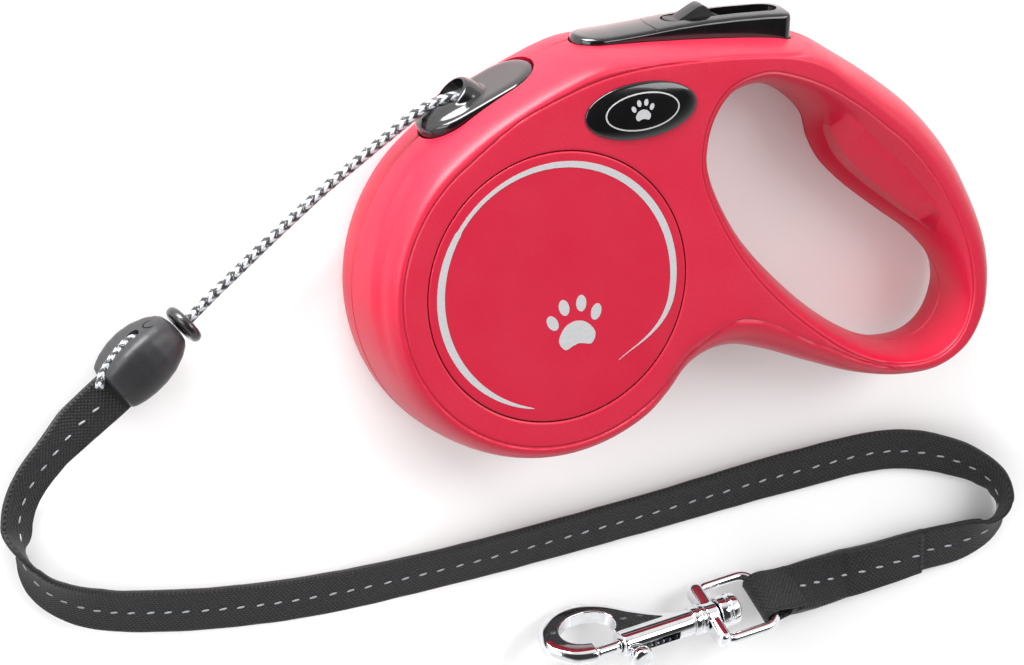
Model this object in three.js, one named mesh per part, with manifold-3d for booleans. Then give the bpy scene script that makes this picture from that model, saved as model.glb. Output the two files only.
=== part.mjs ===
// A retractable dog leash: a hollow handle casing with a spring-wound cord drum, a brake button
// with a lock slider, and a cord that ends in a stop, a webbing strap and a swivelling bolt snap.
// Millimetres, +Z up. The handle lies on its back face. The origin is where the drum's axis
// meets that face, and +X points from the drum to the grip.
import * as THREE from "three";
import { mergeVertices } from "three/addons/utils/BufferGeometryUtils.js";
import Module from "manifold-3d";

const wasm = await Module();
wasm.setup();

// ---- Driving dimensions ----
const GAP = 0.3;
const THICKNESS = 31;
const PARTING_Z = 11.8;
const DRUM_CASE_R = 44.8;
const RIM_BULGE = 4.6;
const WALL = 1.6;
const FACE_WALL = 2.8;
const GRIP_TAPER = 0.22;
const TAPER_FROM_X = 42;
const TAPER_TO_X = 106;
const LABEL_R = 33.1;
const LABEL_T = 1.2;
const POCKET_DEPTH = 1.4;
const CORD_R = 1.25;
const AXLE_R = 3;
const FLANGE_R = 38.6;
const TOOTH_DEPTH = 2;
const TOOTH_COUNT = 20;
const STRAP_W = 12;
const STRAP_T = 1.6;

// ---- Materials ----
const paint = (color, roughness, metalness = 0) =>
  new THREE.MeshStandardMaterial({ color, roughness, metalness });
const RED = paint(0xd8284c, 0.5);
const LABEL_RED = paint(0xd3264a, 0.45);
const GLOSS_BLACK = paint(0x0c0c0d, 0.12);
const DARK = paint(0x3a383b, 0.55);
const RUBBER = paint(0x2b2b2e, 0.6);
const WHITE_PLASTIC = paint(0xd9d9d4, 0.55);
const STEEL = paint(0xa8abb0, 0.3, 1);
const CHROME = paint(0xdfe2e6, 0.08, 1);
const CORD = paint(0x55565a, 0.85);
const WEBBING = paint(0x151416, 0.9);

// ---- Small helpers ----
const root = new THREE.Group();
root.name = "retractable_leash";

function add(name, geometry, material, parent = root) {
  const mesh = new THREE.Mesh(geometry, material);
  mesh.name = name;
  parent.add(mesh);
  return mesh;
}

function welded(geometry) {
  const bare = geometry.index ? geometry.toNonIndexed() : geometry.clone();
  bare.deleteAttribute("normal");
  bare.deleteAttribute("uv");
  return mergeVertices(bare, 1e-4);
}

function solid(geometry) {
  const g = welded(geometry);
  return new wasm.Manifold(new wasm.Mesh({
    numProp: 3,
    vertProperties: new Float32Array(g.attributes.position.array),
    triVerts: new Uint32Array(g.index.array),
  }));
}

function geometryOf(manifold) {
  const m = manifold.getMesh();
  const g = new THREE.BufferGeometry();
  g.setAttribute("position", new THREE.BufferAttribute(new Float32Array(m.vertProperties), 3));
  g.setIndex(new THREE.BufferAttribute(new Uint32Array(m.triVerts), 1));
  return g;
}

function join(first, ...others) {
  return others.reduce((sum, other) => sum.add(other), first);
}

function cut(first, ...tools) {
  return tools.reduce((rest, tool) => rest.subtract(tool), first);
}

// A ring or post turned about the drum's axis from [radius, z] corners.
function turned(corners, segments = 36) {
  const onAxis = corners[0][0] === 0;
  const path = onAxis ? corners : [...corners, corners[0]];
  const g = new THREE.LatheGeometry(path.map(([r, z]) => new THREE.Vector2(r, z)), segments);
  g.rotateX(Math.PI / 2);
  return g;
}

function ring(rIn, rOut, z0, z1, segments = 32) {
  return turned([[rIn, z0], [rOut, z0], [rOut, z1], [rIn, z1]], segments);
}

function post(r, z0, z1, x = 0, y = 0, segments = 12) {
  const g = new THREE.CylinderGeometry(r, r, z1 - z0, segments);
  g.rotateX(Math.PI / 2);
  g.translate(x, y, (z0 + z1) / 2);
  return g;
}

function ovalShape(a, b, segments = 40) {
  const shape = new THREE.Shape();
  shape.absellipse(0, 0, a, b, 0, Math.PI * 2);
  return new THREE.Shape(shape.getPoints(segments / 4).slice(0, -1));
}

function extruded(shape, depth, extra = {}) {
  return new THREE.ExtrudeGeometry(shape, { depth, bevelEnabled: false, curveSegments: 8, ...extra });
}

// A closed tube of constant radius along a curve.
function tube(points, radius, steps, sides) {
  const section = new THREE.Shape();
  section.absarc(0, 0, radius, 0, Math.PI * 2);
  const outline = new THREE.Shape(section.getSpacedPoints(sides).slice(0, -1));
  const path = new THREE.CatmullRomCurve3(points.map((p) => new THREE.Vector3(...p)), false, "centripetal");
  return new THREE.ExtrudeGeometry(outline, { steps, bevelEnabled: false, extrudePath: path });
}

// A solid plank along +X, w wide in Y, from z0 to z1, turned and moved in plan.
function plank(length, width, z0, z1, x, y, angle) {
  const g = new THREE.BoxGeometry(length, width, z1 - z0);
  g.translate(0, 0, (z0 + z1) / 2);
  g.rotateZ(angle);
  g.translate(x, y, 0);
  return g;
}

const degrees = (angle) => (angle * Math.PI) / 180;

// ---- Casing outlines at the parting plane, [x, y, distance in to the face's edge] ----
const DRUM_ARC = Array.from({ length: 13 }, (_, i) => {
  const angle = degrees(128 + 15 * i);
  return [DRUM_CASE_R * Math.cos(angle), DRUM_CASE_R * Math.sin(angle), RIM_BULGE];
});
const RIM = [
  ...DRUM_ARC,
  [33.6, -29.9, 6], [39.5, -24, 9], [45, -21.2, 9.5], [51, -20.6, 9.5], [60, -22.3, 8],
  [72, -26, 6.2], [84, -29.2, 5], [95, -30.2, 4.2], [104, -28.4, 3.1], [111.5, -23, 2.7],
  [116, -14.5, 3.2], [117.2, -5, 4.4], [115.8, 4, 5], [111.5, 14.5, 5.8], [105, 25.6, 6.4],
  [96, 35.5, 6.4], [86, 43, 6], [77, 48.6, 5], [69, 53, 4], [60, 55.2, 3.2],
  [48, 56, 3], [34, 56.2, 3.2], [20, 56.1, 3.8], [8, 55.3, 4.4], [-3, 51, 4.6], [-17, 43.2, 4.6],
];

// The grip hole's edge, and the edge of the face around it: [x, y, faceX, faceY].
const HOLE = [
  [40.4, 30, 36, 29], [42.6, 37.3, 37.2, 38.5], [47.2, 41.7, 42, 46.3], [53, 43.1, 51.5, 49.7],
  [59, 42, 60.5, 48], [65, 38.6, 69, 44.6], [69.4, 34, 75.5, 40.8], [71.2, 28.6, 80, 37.8],
  [74.5, 22.8, 85, 34], [81, 16.5, 91, 29.3], [90, 9.9, 99, 20.5], [99.5, 3.2, 106, 9.5],
  [105.8, -3.6, 109.6, 0.5], [109, -11.5, 111, -10.5], [107.2, -18.3, 108.5, -19.1],
  [103, -22.2, 103.7, -23.7], [96.5, -23.6, 96, -25.4], [89.5, -22.3, 88, -24.8],
  [81.5, -18.7, 79.5, -21.8], [72.5, -12.8, 69.8, -16], [64.3, -6, 60.8, -9.2],
  [56.5, 1.5, 52.4, -1.2], [50, 9, 46, 6.6], [44.8, 17.3, 40.2, 16], [41.6, 24.5, 37, 23.2],
];

function closedCurve(points) {
  return new THREE.CatmullRomCurve3(points.map((p) => new THREE.Vector3(...p)), true, "centripetal");
}

// Samples of the rim: the edge point and the unit direction and distance to the face's edge.
function rimSamples(count) {
  const curve = closedCurve(RIM);
  return Array.from({ length: count }, (_, i) => {
    const p = curve.getPointAt(i / count);
    const t = curve.getTangentAt(i / count);
    const length = Math.hypot(t.x, t.y);
    return { x: p.x, y: p.y, inX: -t.y / length, inY: t.x / length, bulge: p.z };
  });
}

function holeSamples(count) {
  const edge = closedCurve(HOLE.map(([x, y]) => [x, y, 0]));
  const face = closedCurve(HOLE.map(([, , x, y]) => [x, y, 0]));
  return Array.from({ length: count }, (_, i) => {
    const p = edge.getPoint(i / count);
    const q = face.getPoint(i / count);
    const bulge = Math.hypot(q.x - p.x, q.y - p.y);
    return { x: p.x, y: p.y, inX: (q.x - p.x) / bulge, inY: (q.y - p.y) / bulge, bulge };
  });
}

// The casing thins from full thickness at the drum to the grip's end.
function taper(x) {
  return 1 - GRIP_TAPER * THREE.MathUtils.smoothstep(x, TAPER_FROM_X, TAPER_TO_X);
}

function circlePoints(r, count) {
  return Array.from({ length: count }, (_, i) => {
    const angle = (2 * Math.PI * i) / count;
    return new THREE.Vector2(r * Math.cos(angle), r * Math.sin(angle));
  });
}

const RIM_SAMPLES = rimSamples(66);
const HOLE_SAMPLES = holeSamples(50);
const POCKET_RING = circlePoints(LABEL_R + GAP, 36);

// Half of the casing's block, from the parting plane to one face. side is 1 for the front and -1
// for the back; inset(sample, angle) is how far the wall stands in from the edge.
function halfBlock(side, seamZ, height, angles, inset, pocketDepth) {
  const positions = [];
  const push = (a, b, c, flip) => positions.push(...(flip ? [a, c, b] : [a, b, c]).flat());
  const level = (samples, angle, z) => samples.map((s) => {
    const step = inset(s, angle);
    const x = s.x + s.inX * step;
    const y = s.y + s.inY * step;
    const up = side * height * Math.sin(angle) * taper(x);
    return [x, y, angle === 0 ? z : PARTING_Z + up];
  });
  const wall = (lower, upper) => lower.forEach((a, i) => {
    const j = (i + 1) % lower.length;
    push(a, lower[j], upper[j], side < 0);
    push(a, upper[j], upper[i], side < 0);
  });
  const cap = (outline, holes, facing) => {
    const flat = (loop) => loop.map(([x, y]) => new THREE.Vector2(x, y));
    const all = [outline, ...holes].flat();
    THREE.ShapeUtils.triangulateShape(flat(outline), holes.map(flat)).forEach(([i, j, k]) => {
      const [a, b, c] = [all[i], all[j], all[k]];
      const area = (b[0] - a[0]) * (c[1] - a[1]) - (b[1] - a[1]) * (c[0] - a[0]);
      push(a, b, c, area * facing < 0);
    });
  };
  const faceZ = PARTING_Z + side * height;
  const pocket = POCKET_RING.map((p) => [p.x, p.y, faceZ]);
  const floor = POCKET_RING.map((p) => [p.x, p.y, faceZ - side * pocketDepth]);
  const rims = angles.map((angle) => level(RIM_SAMPLES, angle, seamZ));
  const holes = angles.map((angle) => level(HOLE_SAMPLES, angle, seamZ));
  for (let i = 1; i < angles.length; i += 1) {
    wall(rims[i - 1], rims[i]);
    wall(holes[i - 1], holes[i]);
  }
  cap(rims[0], [holes[0]], -side);
  cap(rims.at(-1), [holes.at(-1), pocket], side);
  if (pocketDepth > 0) wall(pocket, floor);
  cap(floor, [], side);
  const g = new THREE.BufferGeometry();
  g.setAttribute("position", new THREE.BufferAttribute(new Float32Array(positions), 3));
  return solid(g);
}

const SKIN_ANGLES = [0, 38, 66, 90].map(degrees);
const CAVITY_ANGLES = [0, 45, 90].map(degrees);
const skinInset = (s, angle) => s.bulge * (1 - Math.cos(angle));
const cavitySlope = (bulge) => bulge * Math.min(0.55, 0.2 + 0.04 * bulge);
const cavityInset = (s, angle) => WALL + cavitySlope(s.bulge) * (1 - Math.cos(angle));

// ---- Places ----
const SCREWS = [[5.5, 48.6], [71.5, 44.4], [96.5, 21.5], [47.5, -11.5]];
const BUTTON_Z = [8, 20];
const PIVOT = [12, 52.4];
const PLUNGER_DIR = new THREE.Vector2(-0.55, -0.835).normalize();
const PLUNGER_HEAD = new THREE.Vector2(37, 50.6);
const BADGE = { x: 19, y: 42.2, angle: degrees(6.4), a: 14.4, b: 7 };
const OUTLET = { x: -16.25, y: 43.1, z: 13, angle: Math.atan2(14.6, 28.3), length: 31.8, width: 17.6 };

const INNER_RUN = [[8.2, 37.6, 10.5], [0, 39.8, 11.8], [-8.5, 41.25, 12.9], [-14.6, 42.05, 13]];
const FREE_RUN = [
  [-15.2, 42.1, 13], [-18.5, 42.6, 13], [-21.6, 42.9, 13], [-25, 42.1, 12.9], [-29.8, 39.9, 12.6],
  [-38.5, 33.2, 12], [-45.7, 27.3, 11.4], [-52.9, 21.3, 10.8], [-59.7, 15, 10.2], [-66.5, 8.5, 9.5],
  [-73.1, 2, 8.9], [-78.8, -3.6, 8.3], [-85.3, -10.3, 7.7],
];

// Turns a shape drawn in (along the rim, z) and extruded outwards into its place at the outlet.
function atOutlet(geometry) {
  const along = new THREE.Vector3(Math.cos(OUTLET.angle), Math.sin(OUTLET.angle), 0);
  const out = new THREE.Vector3(-along.y, along.x, 0);
  const basis = new THREE.Matrix4().makeBasis(along, new THREE.Vector3(0, 0, -1), out);
  basis.setPosition(OUTLET.x, OUTLET.y, OUTLET.z);
  return geometry.applyMatrix4(basis);
}

function stadium(length, width, grow = 0) {
  const r = width / 2 + grow;
  const half = (length - width) / 2;
  const shape = new THREE.Shape();
  shape.absarc(half, 0, r, -Math.PI / 2, Math.PI / 2);
  shape.absarc(-half, 0, r, Math.PI / 2, (3 * Math.PI) / 2);
  return shape;
}

function ovalBlock(grow, z0, z1) {
  const g = extruded(ovalShape(BADGE.a + grow, BADGE.b + grow), z1 - z0);
  g.rotateZ(BADGE.angle);
  g.translate(BADGE.x, BADGE.y, z0);
  return g;
}

// ---- Casing shells ----
const SEAM = 0.1;
const FRONT_H = THICKNESS - PARTING_Z;
const BACK_H = PARTING_Z;

function buttonSlot() {
  const g = new THREE.BoxGeometry(55.9, 14, BUTTON_Z[1] - BUTTON_Z[0] + 0.8);
  g.translate(35.05, 57.2, (BUTTON_Z[0] + BUTTON_Z[1]) / 2);
  return solid(g);
}

function outletSeat() {
  const g = extruded(stadium(OUTLET.length, OUTLET.width, GAP), 16);
  g.translate(0, 0, -9);
  return solid(atOutlet(g));
}

function casingShell(side) {
  const height = side > 0 ? FRONT_H : BACK_H;
  const seamZ = PARTING_Z + side * SEAM;
  const skin = halfBlock(side, seamZ, height, SKIN_ANGLES, skinInset, POCKET_DEPTH);
  const inner = PARTING_Z - side * 0.5;
  const hollow = halfBlock(side, inner, height - FACE_WALL, CAVITY_ANGLES, cavityInset, 0);
  const inside = (x) => PARTING_Z + side * (height - 1.3) * taper(x);
  const span = (a, b) => [Math.min(a, b), Math.max(a, b)];
  const bosses = SCREWS.map(([x, y]) => solid(post(3.6, ...span(seamZ, inside(x)), x, y)));
  const slotEdge = side > 0 ? BUTTON_Z[1] + 0.4 : BUTTON_Z[0] - 0.4;
  const pivotBoss = solid(post(2.6, ...span(slotEdge, inside(0)), ...PIVOT));
  const pivotHole = solid(post(1.35, 4.2, 23.8, ...PIVOT));
  const axleHole = solid(post(2.1, ...span(PARTING_Z, side > 0 ? 30 : 1), 0, 0));
  const shell = cut(skin, hollow, buttonSlot(), outletSeat());
  return { shell: join(shell, ...bosses, pivotBoss), holes: [pivotHole, axleHole] };
}

function casingFront() {
  const { shell, holes } = casingShell(1);
  const pilots = SCREWS.map(([x, y]) => solid(post(1.7, 5, 22.6, x, y)));
  return cut(shell, ...holes, ...pilots, solid(ovalBlock(GAP, THICKNESS - 1.2, THICKNESS + 2)));
}

function backFaceZ(x) {
  return PARTING_Z - BACK_H * taper(x);
}

function casingBack() {
  const { shell, holes } = casingShell(-1);
  const mid = PLUNGER_HEAD.clone().addScaledVector(PLUNGER_DIR, 8);
  const angle = Math.atan2(PLUNGER_DIR.y, PLUNGER_DIR.x);
  const guide = solid(plank(8, 9.4, 2, 11.4, mid.x, mid.y, angle));
  const channel = solid(plank(12, 5.6, 7.6, 14, mid.x, mid.y, angle));
  const clearances = SCREWS.map(([x, y]) => solid(post(1.8, -1, 14, x, y)));
  const heads = SCREWS.map(([x, y]) => solid(post(3, -1, backFaceZ(x) + 2.6, x, y)));
  const wider = SCREWS.map(([x, y]) => solid(post(4.4, backFaceZ(x) + 1.2, backFaceZ(x) + 4.6, x, y)));
  return cut(join(shell, guide, ...wider), channel, ...holes, ...clearances, ...heads);
}

add("casing_front", geometryOf(casingFront()), RED);
add("casing_back", geometryOf(casingBack()), RED);

function casingScrew(x, y) {
  const z = backFaceZ(x) + 0.8;
  const tip = 22;
  const profile = [[0, z], [2.6, z], [2.6, z + 1.5], [1.4, z + 1.5], [1.4, tip - 1], [0.7, tip], [0, tip]];
  const g = turned(profile, 12);
  g.translate(x, y, 0);
  return g;
}
SCREWS.forEach(([x, y], i) => add(`casing_screw_${i + 1}`, casingScrew(x, y), STEEL));

add("label_front", post(LABEL_R, THICKNESS - LABEL_T, THICKNESS, 0, 0, 36), LABEL_RED);
add("label_back", post(LABEL_R, 0, LABEL_T, 0, 0, 36), LABEL_RED);

function badge() {
  const g = extruded(ovalShape(BADGE.a - 1.2, BADGE.b - 1.2), 0.3, {
    bevelEnabled: true, bevelThickness: 0.9, bevelSize: 1.2, bevelSegments: 3,
  });
  g.rotateZ(BADGE.angle);
  g.translate(BADGE.x, BADGE.y, THICKNESS - 0.1);
  return g;
}
add("badge", badge(), GLOSS_BLACK);

// ---- Cord outlet ----
const MOUTH = { along: -4.4, out: 2.25, r: 4.6, bore: 2.3 };
const MOUTH_DIR = new THREE.Vector2(-0.8, 0.6);

// A cylinder along the mouth's axis, in the outlet's own frame (along, z, out).
function mouthPost(r, from, to, segments) {
  const g = new THREE.CylinderGeometry(r, r, to - from, segments);
  g.translate(0, (from + to) / 2, 0);
  g.rotateX(Math.PI / 2);
  g.rotateY(Math.atan2(MOUTH_DIR.x, MOUTH_DIR.y));
  g.translate(MOUTH.along, 0, MOUTH.out);
  return solid(g);
}

function cordOutlet() {
  const bevel = 1.4;
  const plate = extruded(stadium(OUTLET.length, OUTLET.width, -bevel), 3.6, {
    bevelEnabled: true, bevelThickness: bevel, bevelSize: bevel, bevelSegments: 3,
  });
  plate.translate(0, 0, -4);
  const trumpet = mouthPost(MOUTH.r, -8, 0, 20);
  const slab = new THREE.BoxGeometry(60, 60, 20);
  slab.translate(0, 0, -15.4);
  const body = cut(join(solid(plate), trumpet), solid(slab), mouthPost(MOUTH.bore, -20, 6, 16));
  const channel = tube(FREE_RUN.slice(2, 7), CORD_R + 0.4, 10, 10);
  return geometryOf(cut(solid(atOutlet(geometryOf(body))), solid(channel)));
}
add("cord_outlet", cordOutlet(), GLOSS_BLACK);

// ---- Drum, axle and power spring ----
function drumFlangeTeeth() {
  const valley = FLANGE_R - TOOTH_DEPTH;
  const pitch = (2 * Math.PI) / TOOTH_COUNT;
  const gapAngle = Math.atan2(PLUNGER_TIP.y, PLUNGER_TIP.x);
  const shape = new THREE.Shape();
  for (let i = 0; i < TOOTH_COUNT; i += 1) {
    const middle = gapAngle + (i + 0.5) * pitch;
    [[-0.27, valley], [-0.22, FLANGE_R], [0.22, FLANGE_R], [0.27, valley]].forEach(([k, r]) => {
      const angle = middle + k * pitch;
      const point = [r * Math.cos(angle), r * Math.sin(angle)];
      if (i === 0 && k === -0.27) shape.moveTo(...point);
      else shape.lineTo(...point);
    });
  }
  const bore = new THREE.Path();
  bore.absarc(0, 0, 17, 0, Math.PI * 2);
  shape.holes.push(bore);
  const g = extruded(shape, 2);
  g.translate(0, 0, 16.2);
  return g;
}

// The plunger's nose at rest: on its line, just outside the teeth.
function lineAtRadius(r) {
  const b = PLUNGER_HEAD.dot(PLUNGER_DIR);
  const c = PLUNGER_HEAD.lengthSq() - r * r;
  return -b - Math.sqrt(b * b - c);
}
const PLUNGER_LENGTH = lineAtRadius(FLANGE_R + 0.4);
const PLUNGER_TIP = PLUNGER_HEAD.clone().addScaledVector(PLUNGER_DIR, PLUNGER_LENGTH);

function drum() {
  const profile = [
    [AXLE_R + GAP, 3.6], [5.6, 3.6], [5.6, 15], [15.6, 15], [15.6, 3.6], [18.2, 3.6], [18.2, 16.2],
    [36, 16.2], [36, 25.6], [34.2, 25.6], [34.2, 18.2], [AXLE_R + GAP, 18.2],
  ];
  return geometryOf(join(solid(turned(profile)), solid(drumFlangeTeeth())));
}
add("drum", drum(), WHITE_PLASTIC);
add("drum_flange", ring(18.5, 38, 3.6, 4.8), WHITE_PLASTIC);
add("cord_winding", ring(18.5, 36.5, 5.1, 15.9), CORD);
add("spring_cover", ring(AXLE_R + GAP, 35.8, 25.9, 26.9), WHITE_PLASTIC);
add("spring_arbor", ring(AXLE_R + GAP, 6.5, 19, 25, 20), STEEL);
add("axle", turned([
  [0, 1.8], [1.8, 1.8], [1.8, 3.1], [AXLE_R, 3.1], [AXLE_R, 27.9], [1.8, 27.9], [1.8, 29.2], [0, 29.2],
], 20), STEEL);
add("axle_washer_back", ring(AXLE_R + GAP, 5.6, 2.95, 3.35, 20), STEEL);
add("axle_washer_front", ring(AXLE_R + GAP, 5.6, 27.2, 27.6, 20), STEEL);

// A flat strip wound in a spiral between the arbor and the drum's cup.
function powerSpring() {
  const turns = 5;
  const steps = 16 * turns;
  const edge = (offset) => Array.from({ length: steps + 1 }, (_, i) => {
    const angle = (2 * Math.PI * turns * i) / steps;
    const r = 8 + (25.4 * i) / steps + offset;
    return new THREE.Vector2(r * Math.cos(angle), r * Math.sin(angle));
  });
  const g = extruded(new THREE.Shape([...edge(0), ...edge(0.5).reverse()]), 5.6);
  g.translate(0, 0, 19.2);
  return g;
}
add("power_spring", powerSpring(), STEEL);

// ---- Brake ----
function brakeButton() {
  const skirt = 52.5;
  const shape = new THREE.Shape();
  shape.moveTo(7.6, 55.4);
  shape.lineTo(9.4, skirt);
  shape.lineTo(10.2, PIVOT[1] - 1.6);
  shape.lineTo(13.8, PIVOT[1] - 1.6);
  shape.lineTo(15, skirt);
  shape.lineTo(62.4, skirt);
  shape.lineTo(62.3, 60);
  shape.quadraticCurveTo(62.1, 61.4, 60.4, 61.4);
  shape.lineTo(46, 61.2);
  shape.quadraticCurveTo(31, 60.4, 20, 58.4);
  shape.quadraticCurveTo(12, 57.2, 7.8, 56.9);
  const bevel = 0.7;
  const block = extruded(shape, BUTTON_Z[1] - BUTTON_Z[0] - 2 * bevel, {
    bevelEnabled: true, bevelThickness: bevel, bevelSize: bevel, bevelOffset: -bevel, bevelSegments: 2,
  });
  block.translate(0, 0, BUTTON_Z[0] + bevel);
  const recess = new THREE.BoxGeometry(28, 6, 6.6);
  recess.translate(46, 61.4, 14);
  const pinHole = post(1.4, 6, 22, ...PIVOT);
  const hollow = (x0, x1) => {
    const box = new THREE.BoxGeometry(x1 - x0, 4.4, 9);
    box.translate((x0 + x1) / 2, 54, 14);
    return solid(box);
  };
  return geometryOf(cut(solid(block), solid(recess), solid(pinHole), hollow(16.5, 33.6), hollow(41, 60.5)));
}
add("brake_button", brakeButton(), GLOSS_BLACK);
add("button_pivot_pin", post(1.05, 4.6, 23.4, ...PIVOT), STEEL);

function lockSlider() {
  const shape = new THREE.Shape();
  shape.moveTo(32.4, 58.8);
  shape.lineTo(45.4, 58.8);
  shape.lineTo(45.4, 60.2);
  shape.quadraticCurveTo(42.6, 60.8, 41, 62.7);
  shape.quadraticCurveTo(40.4, 63.2, 39.6, 62.8);
  shape.lineTo(33, 60);
  const g = extruded(shape, 5.8);
  g.translate(0, 0, 11.1);
  return g;
}
add("lock_slider", lockSlider(), DARK);

function brakePlunger() {
  const angle = Math.atan2(PLUNGER_DIR.y, PLUNGER_DIR.x);
  const along = (d) => PLUNGER_HEAD.clone().addScaledVector(PLUNGER_DIR, d);
  const mid = along((PLUNGER_LENGTH - 1.2) / 2 - 0.4);
  const stem = plank(PLUNGER_LENGTH - 2, 5, 8.2, 19, mid.x, mid.y, angle);
  const tip = along(PLUNGER_LENGTH - 1.6);
  const nose = plank(3.2, 3.6, 15.6, 19, tip.x, tip.y, angle);
  const head = new THREE.CylinderGeometry(2.4, 2.4, 8, 12);
  head.rotateX(Math.PI / 2);
  head.translate(PLUNGER_HEAD.x - 0.6, PLUNGER_HEAD.y - 1.1, 13.6);
  return geometryOf(join(solid(stem), solid(nose), solid(head)));
}
add("brake_plunger", brakePlunger(), WHITE_PLASTIC);

// A coil spring along +Z from the origin.
function coilSpring(r, wire, length, turns, steps, sides) {
  const points = Array.from({ length: steps * turns + 1 }, (_, i) => {
    const angle = (2 * Math.PI * i) / steps;
    const z = wire + ((length - 2 * wire) * i) / (steps * turns);
    return [r * Math.cos(angle), r * Math.sin(angle), z];
  });
  return tube(points, wire, steps * turns, sides);
}

function buttonSpring() {
  const g = coilSpring(1.9, 0.3, 9.8, 5, 8, 4);
  g.rotateX(-Math.PI / 2);
  g.translate(55.5, 45.9, 14);
  return g;
}
add("button_spring", buttonSpring(), STEEL);

// ---- Cord ----
const RING = { x: -85.6, y: -10.7, z: 7.6 };
add("cord_inner", tube(INNER_RUN, CORD_R, 8, 8), CORD);
add("cord_line", tube(FREE_RUN, CORD_R, 26, 8), CORD);

// ---- Cord stop ----
const STOP_ANGLE = degrees(224);
const STOP_LENGTH = 20.7;
const STOP_SIDE = -1.2;
const STOP_PROFILE = [
  [0, 0], [3.9, 0], [5.4, 0.9], [6.6, 4], [7.4, 8], [7.6, 11.5], [7.4, 15.3], [6.8, 18.8], [6, STOP_LENGTH],
  [0, STOP_LENGTH],
];

// Turns a shape made along +X, with its start at the ring, into the stop's place.
function atStop(geometry) {
  geometry.rotateZ(STOP_ANGLE);
  geometry.translate(RING.x, RING.y, RING.z);
  return geometry;
}

const TAIL = [[10.9, -7.9, 1.8], [14, -8.3, 1.8], [18, -7.9, 1.9], [22.2, -7, 2.1], [25, -5.7, 2.2]];
const TAIL_R = 1;

function cordStop() {
  const body = turned(STOP_PROFILE, 28);
  body.rotateY(Math.PI / 2);
  body.scale(1, 1, 0.93);
  body.translate(2.1, STOP_SIDE, 0);
  const entry = new THREE.CylinderGeometry(1.8, 1.8, 10, 12);
  entry.rotateZ(Math.PI / 2);
  entry.translate(5, 0, 0);
  const [before, beyond] = [[10.4, -7.8, 1.8], [28, -4.4, 2.2]];
  const groove = tube([before, ...TAIL, beyond].map(([x, y, z]) => [x, y - 0.2, z]), TAIL_R + 0.5, 14, 8);
  return atStop(geometryOf(cut(solid(body), solid(entry), solid(groove))));
}
add("cord_stop", cordStop(), DARK);
add("cord_tail", atStop(tube(TAIL, TAIL_R, 12, 6)), CORD);

function bumperRing() {
  const g = new THREE.TorusGeometry(3.85, 1.45, 10, 24);
  g.rotateY(Math.PI / 2);
  return atStop(g);
}
add("bumper_ring", bumperRing(), RUBBER);

// ---- Strap: a ribbon laid along [x, y, roll, lift] ----
// The roll turns the ribbon's first edge up from the left-hand side of its way.
function ribbonFrame(rows, thickness) {
  const way = rows.map(([x, y]) => new THREE.Vector3(x, y, 0));
  const plan = new THREE.CatmullRomCurve3(way, false, "centripetal");
  const turn = new THREE.CatmullRomCurve3(rows.map(([, , roll, lift]) => new THREE.Vector3(roll, lift, 0)));
  return (u) => {
    const p = plan.getPoint(u);
    const t = plan.getTangent(u);
    const { x: roll, y: lift } = turn.getPoint(u);
    const [c, s] = [Math.cos(degrees(roll)), Math.sin(degrees(roll))];
    const across = new THREE.Vector3(-t.y * c, t.x * c, s).normalize();
    const height = (STRAP_W / 2) * Math.abs(s) + (thickness / 2) * Math.abs(c) + 0.12 + lift;
    return { centre: new THREE.Vector3(p.x, p.y, height), across, normal: t.clone().cross(across) };
  };
}

function ribbon(rows, from, to, steps, thickness) {
  const frame = ribbonFrame(rows, thickness);
  const positions = [];
  const section = Array.from({ length: steps + 1 }, (_, i) => {
    const { centre, across, normal } = frame(from + ((to - from) * i) / steps);
    const corner = (a, n) => centre.clone().addScaledVector(across, (a * STRAP_W) / 2)
      .addScaledVector(normal, (n * thickness) / 2).toArray();
    return [corner(-1, -1), corner(1, -1), corner(1, 1), corner(-1, 1)];
  });
  const quad = (a, b, c, d) => positions.push(...a, ...b, ...c, ...a, ...c, ...d);
  for (let i = 0; i < steps; i += 1) {
    for (let k = 0; k < 4; k += 1) {
      const j = (k + 1) % 4;
      quad(section[i][k], section[i][j], section[i + 1][j], section[i + 1][k]);
    }
  }
  quad(...section[0].toReversed());
  quad(...section[steps]);
  const g = new THREE.BufferGeometry();
  g.setAttribute("position", new THREE.BufferAttribute(new Float32Array(positions), 3));
  return g;
}

const STRAP_ROWS = [
  [-103.1, -26.4, 180, 6.9], [-109.1, -33.1, 178, 4.4], [-116.4, -41.4, 160, 1.6], [-122.3, -50.8, 156, 0.2],
  [-124.3, -59.6, 147, 0], [-122.2, -67.5, 93, 0], [-116.4, -74.4, 56, 0], [-104.6, -80.1, 29, 0],
  [-85.3, -82.4, 20.5, 0], [-50.4, -81.4, 20, 0], [-10.1, -75.4, 25, 0], [35.1, -66.4, 25, 0],
  [76.8, -57.5, 21, 0], [103, -53.5, 25, 0], [119.5, -56.5, 40, 0], [128.6, -61.6, 64, 0],
  [131.6, -67.4, 96, 0], [129.6, -73.2, 134, 0], [122.6, -77.3, 156, 0], [112.4, -79.4, 161, 0],
  [94.4, -83.8, 176, 0.6], [80.6, -85.4, 208, 2.2], [72.3, -85.9, 231, 3.9],
];
const SEAM_AT = 19 / 22;
add("strap", ribbon(STRAP_ROWS, 0, SEAM_AT, 60, STRAP_T), WEBBING);
add("strap_doubled", ribbon(STRAP_ROWS, SEAM_AT + 0.001, 1, 10, STRAP_T * 1.9), WEBBING);

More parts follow.
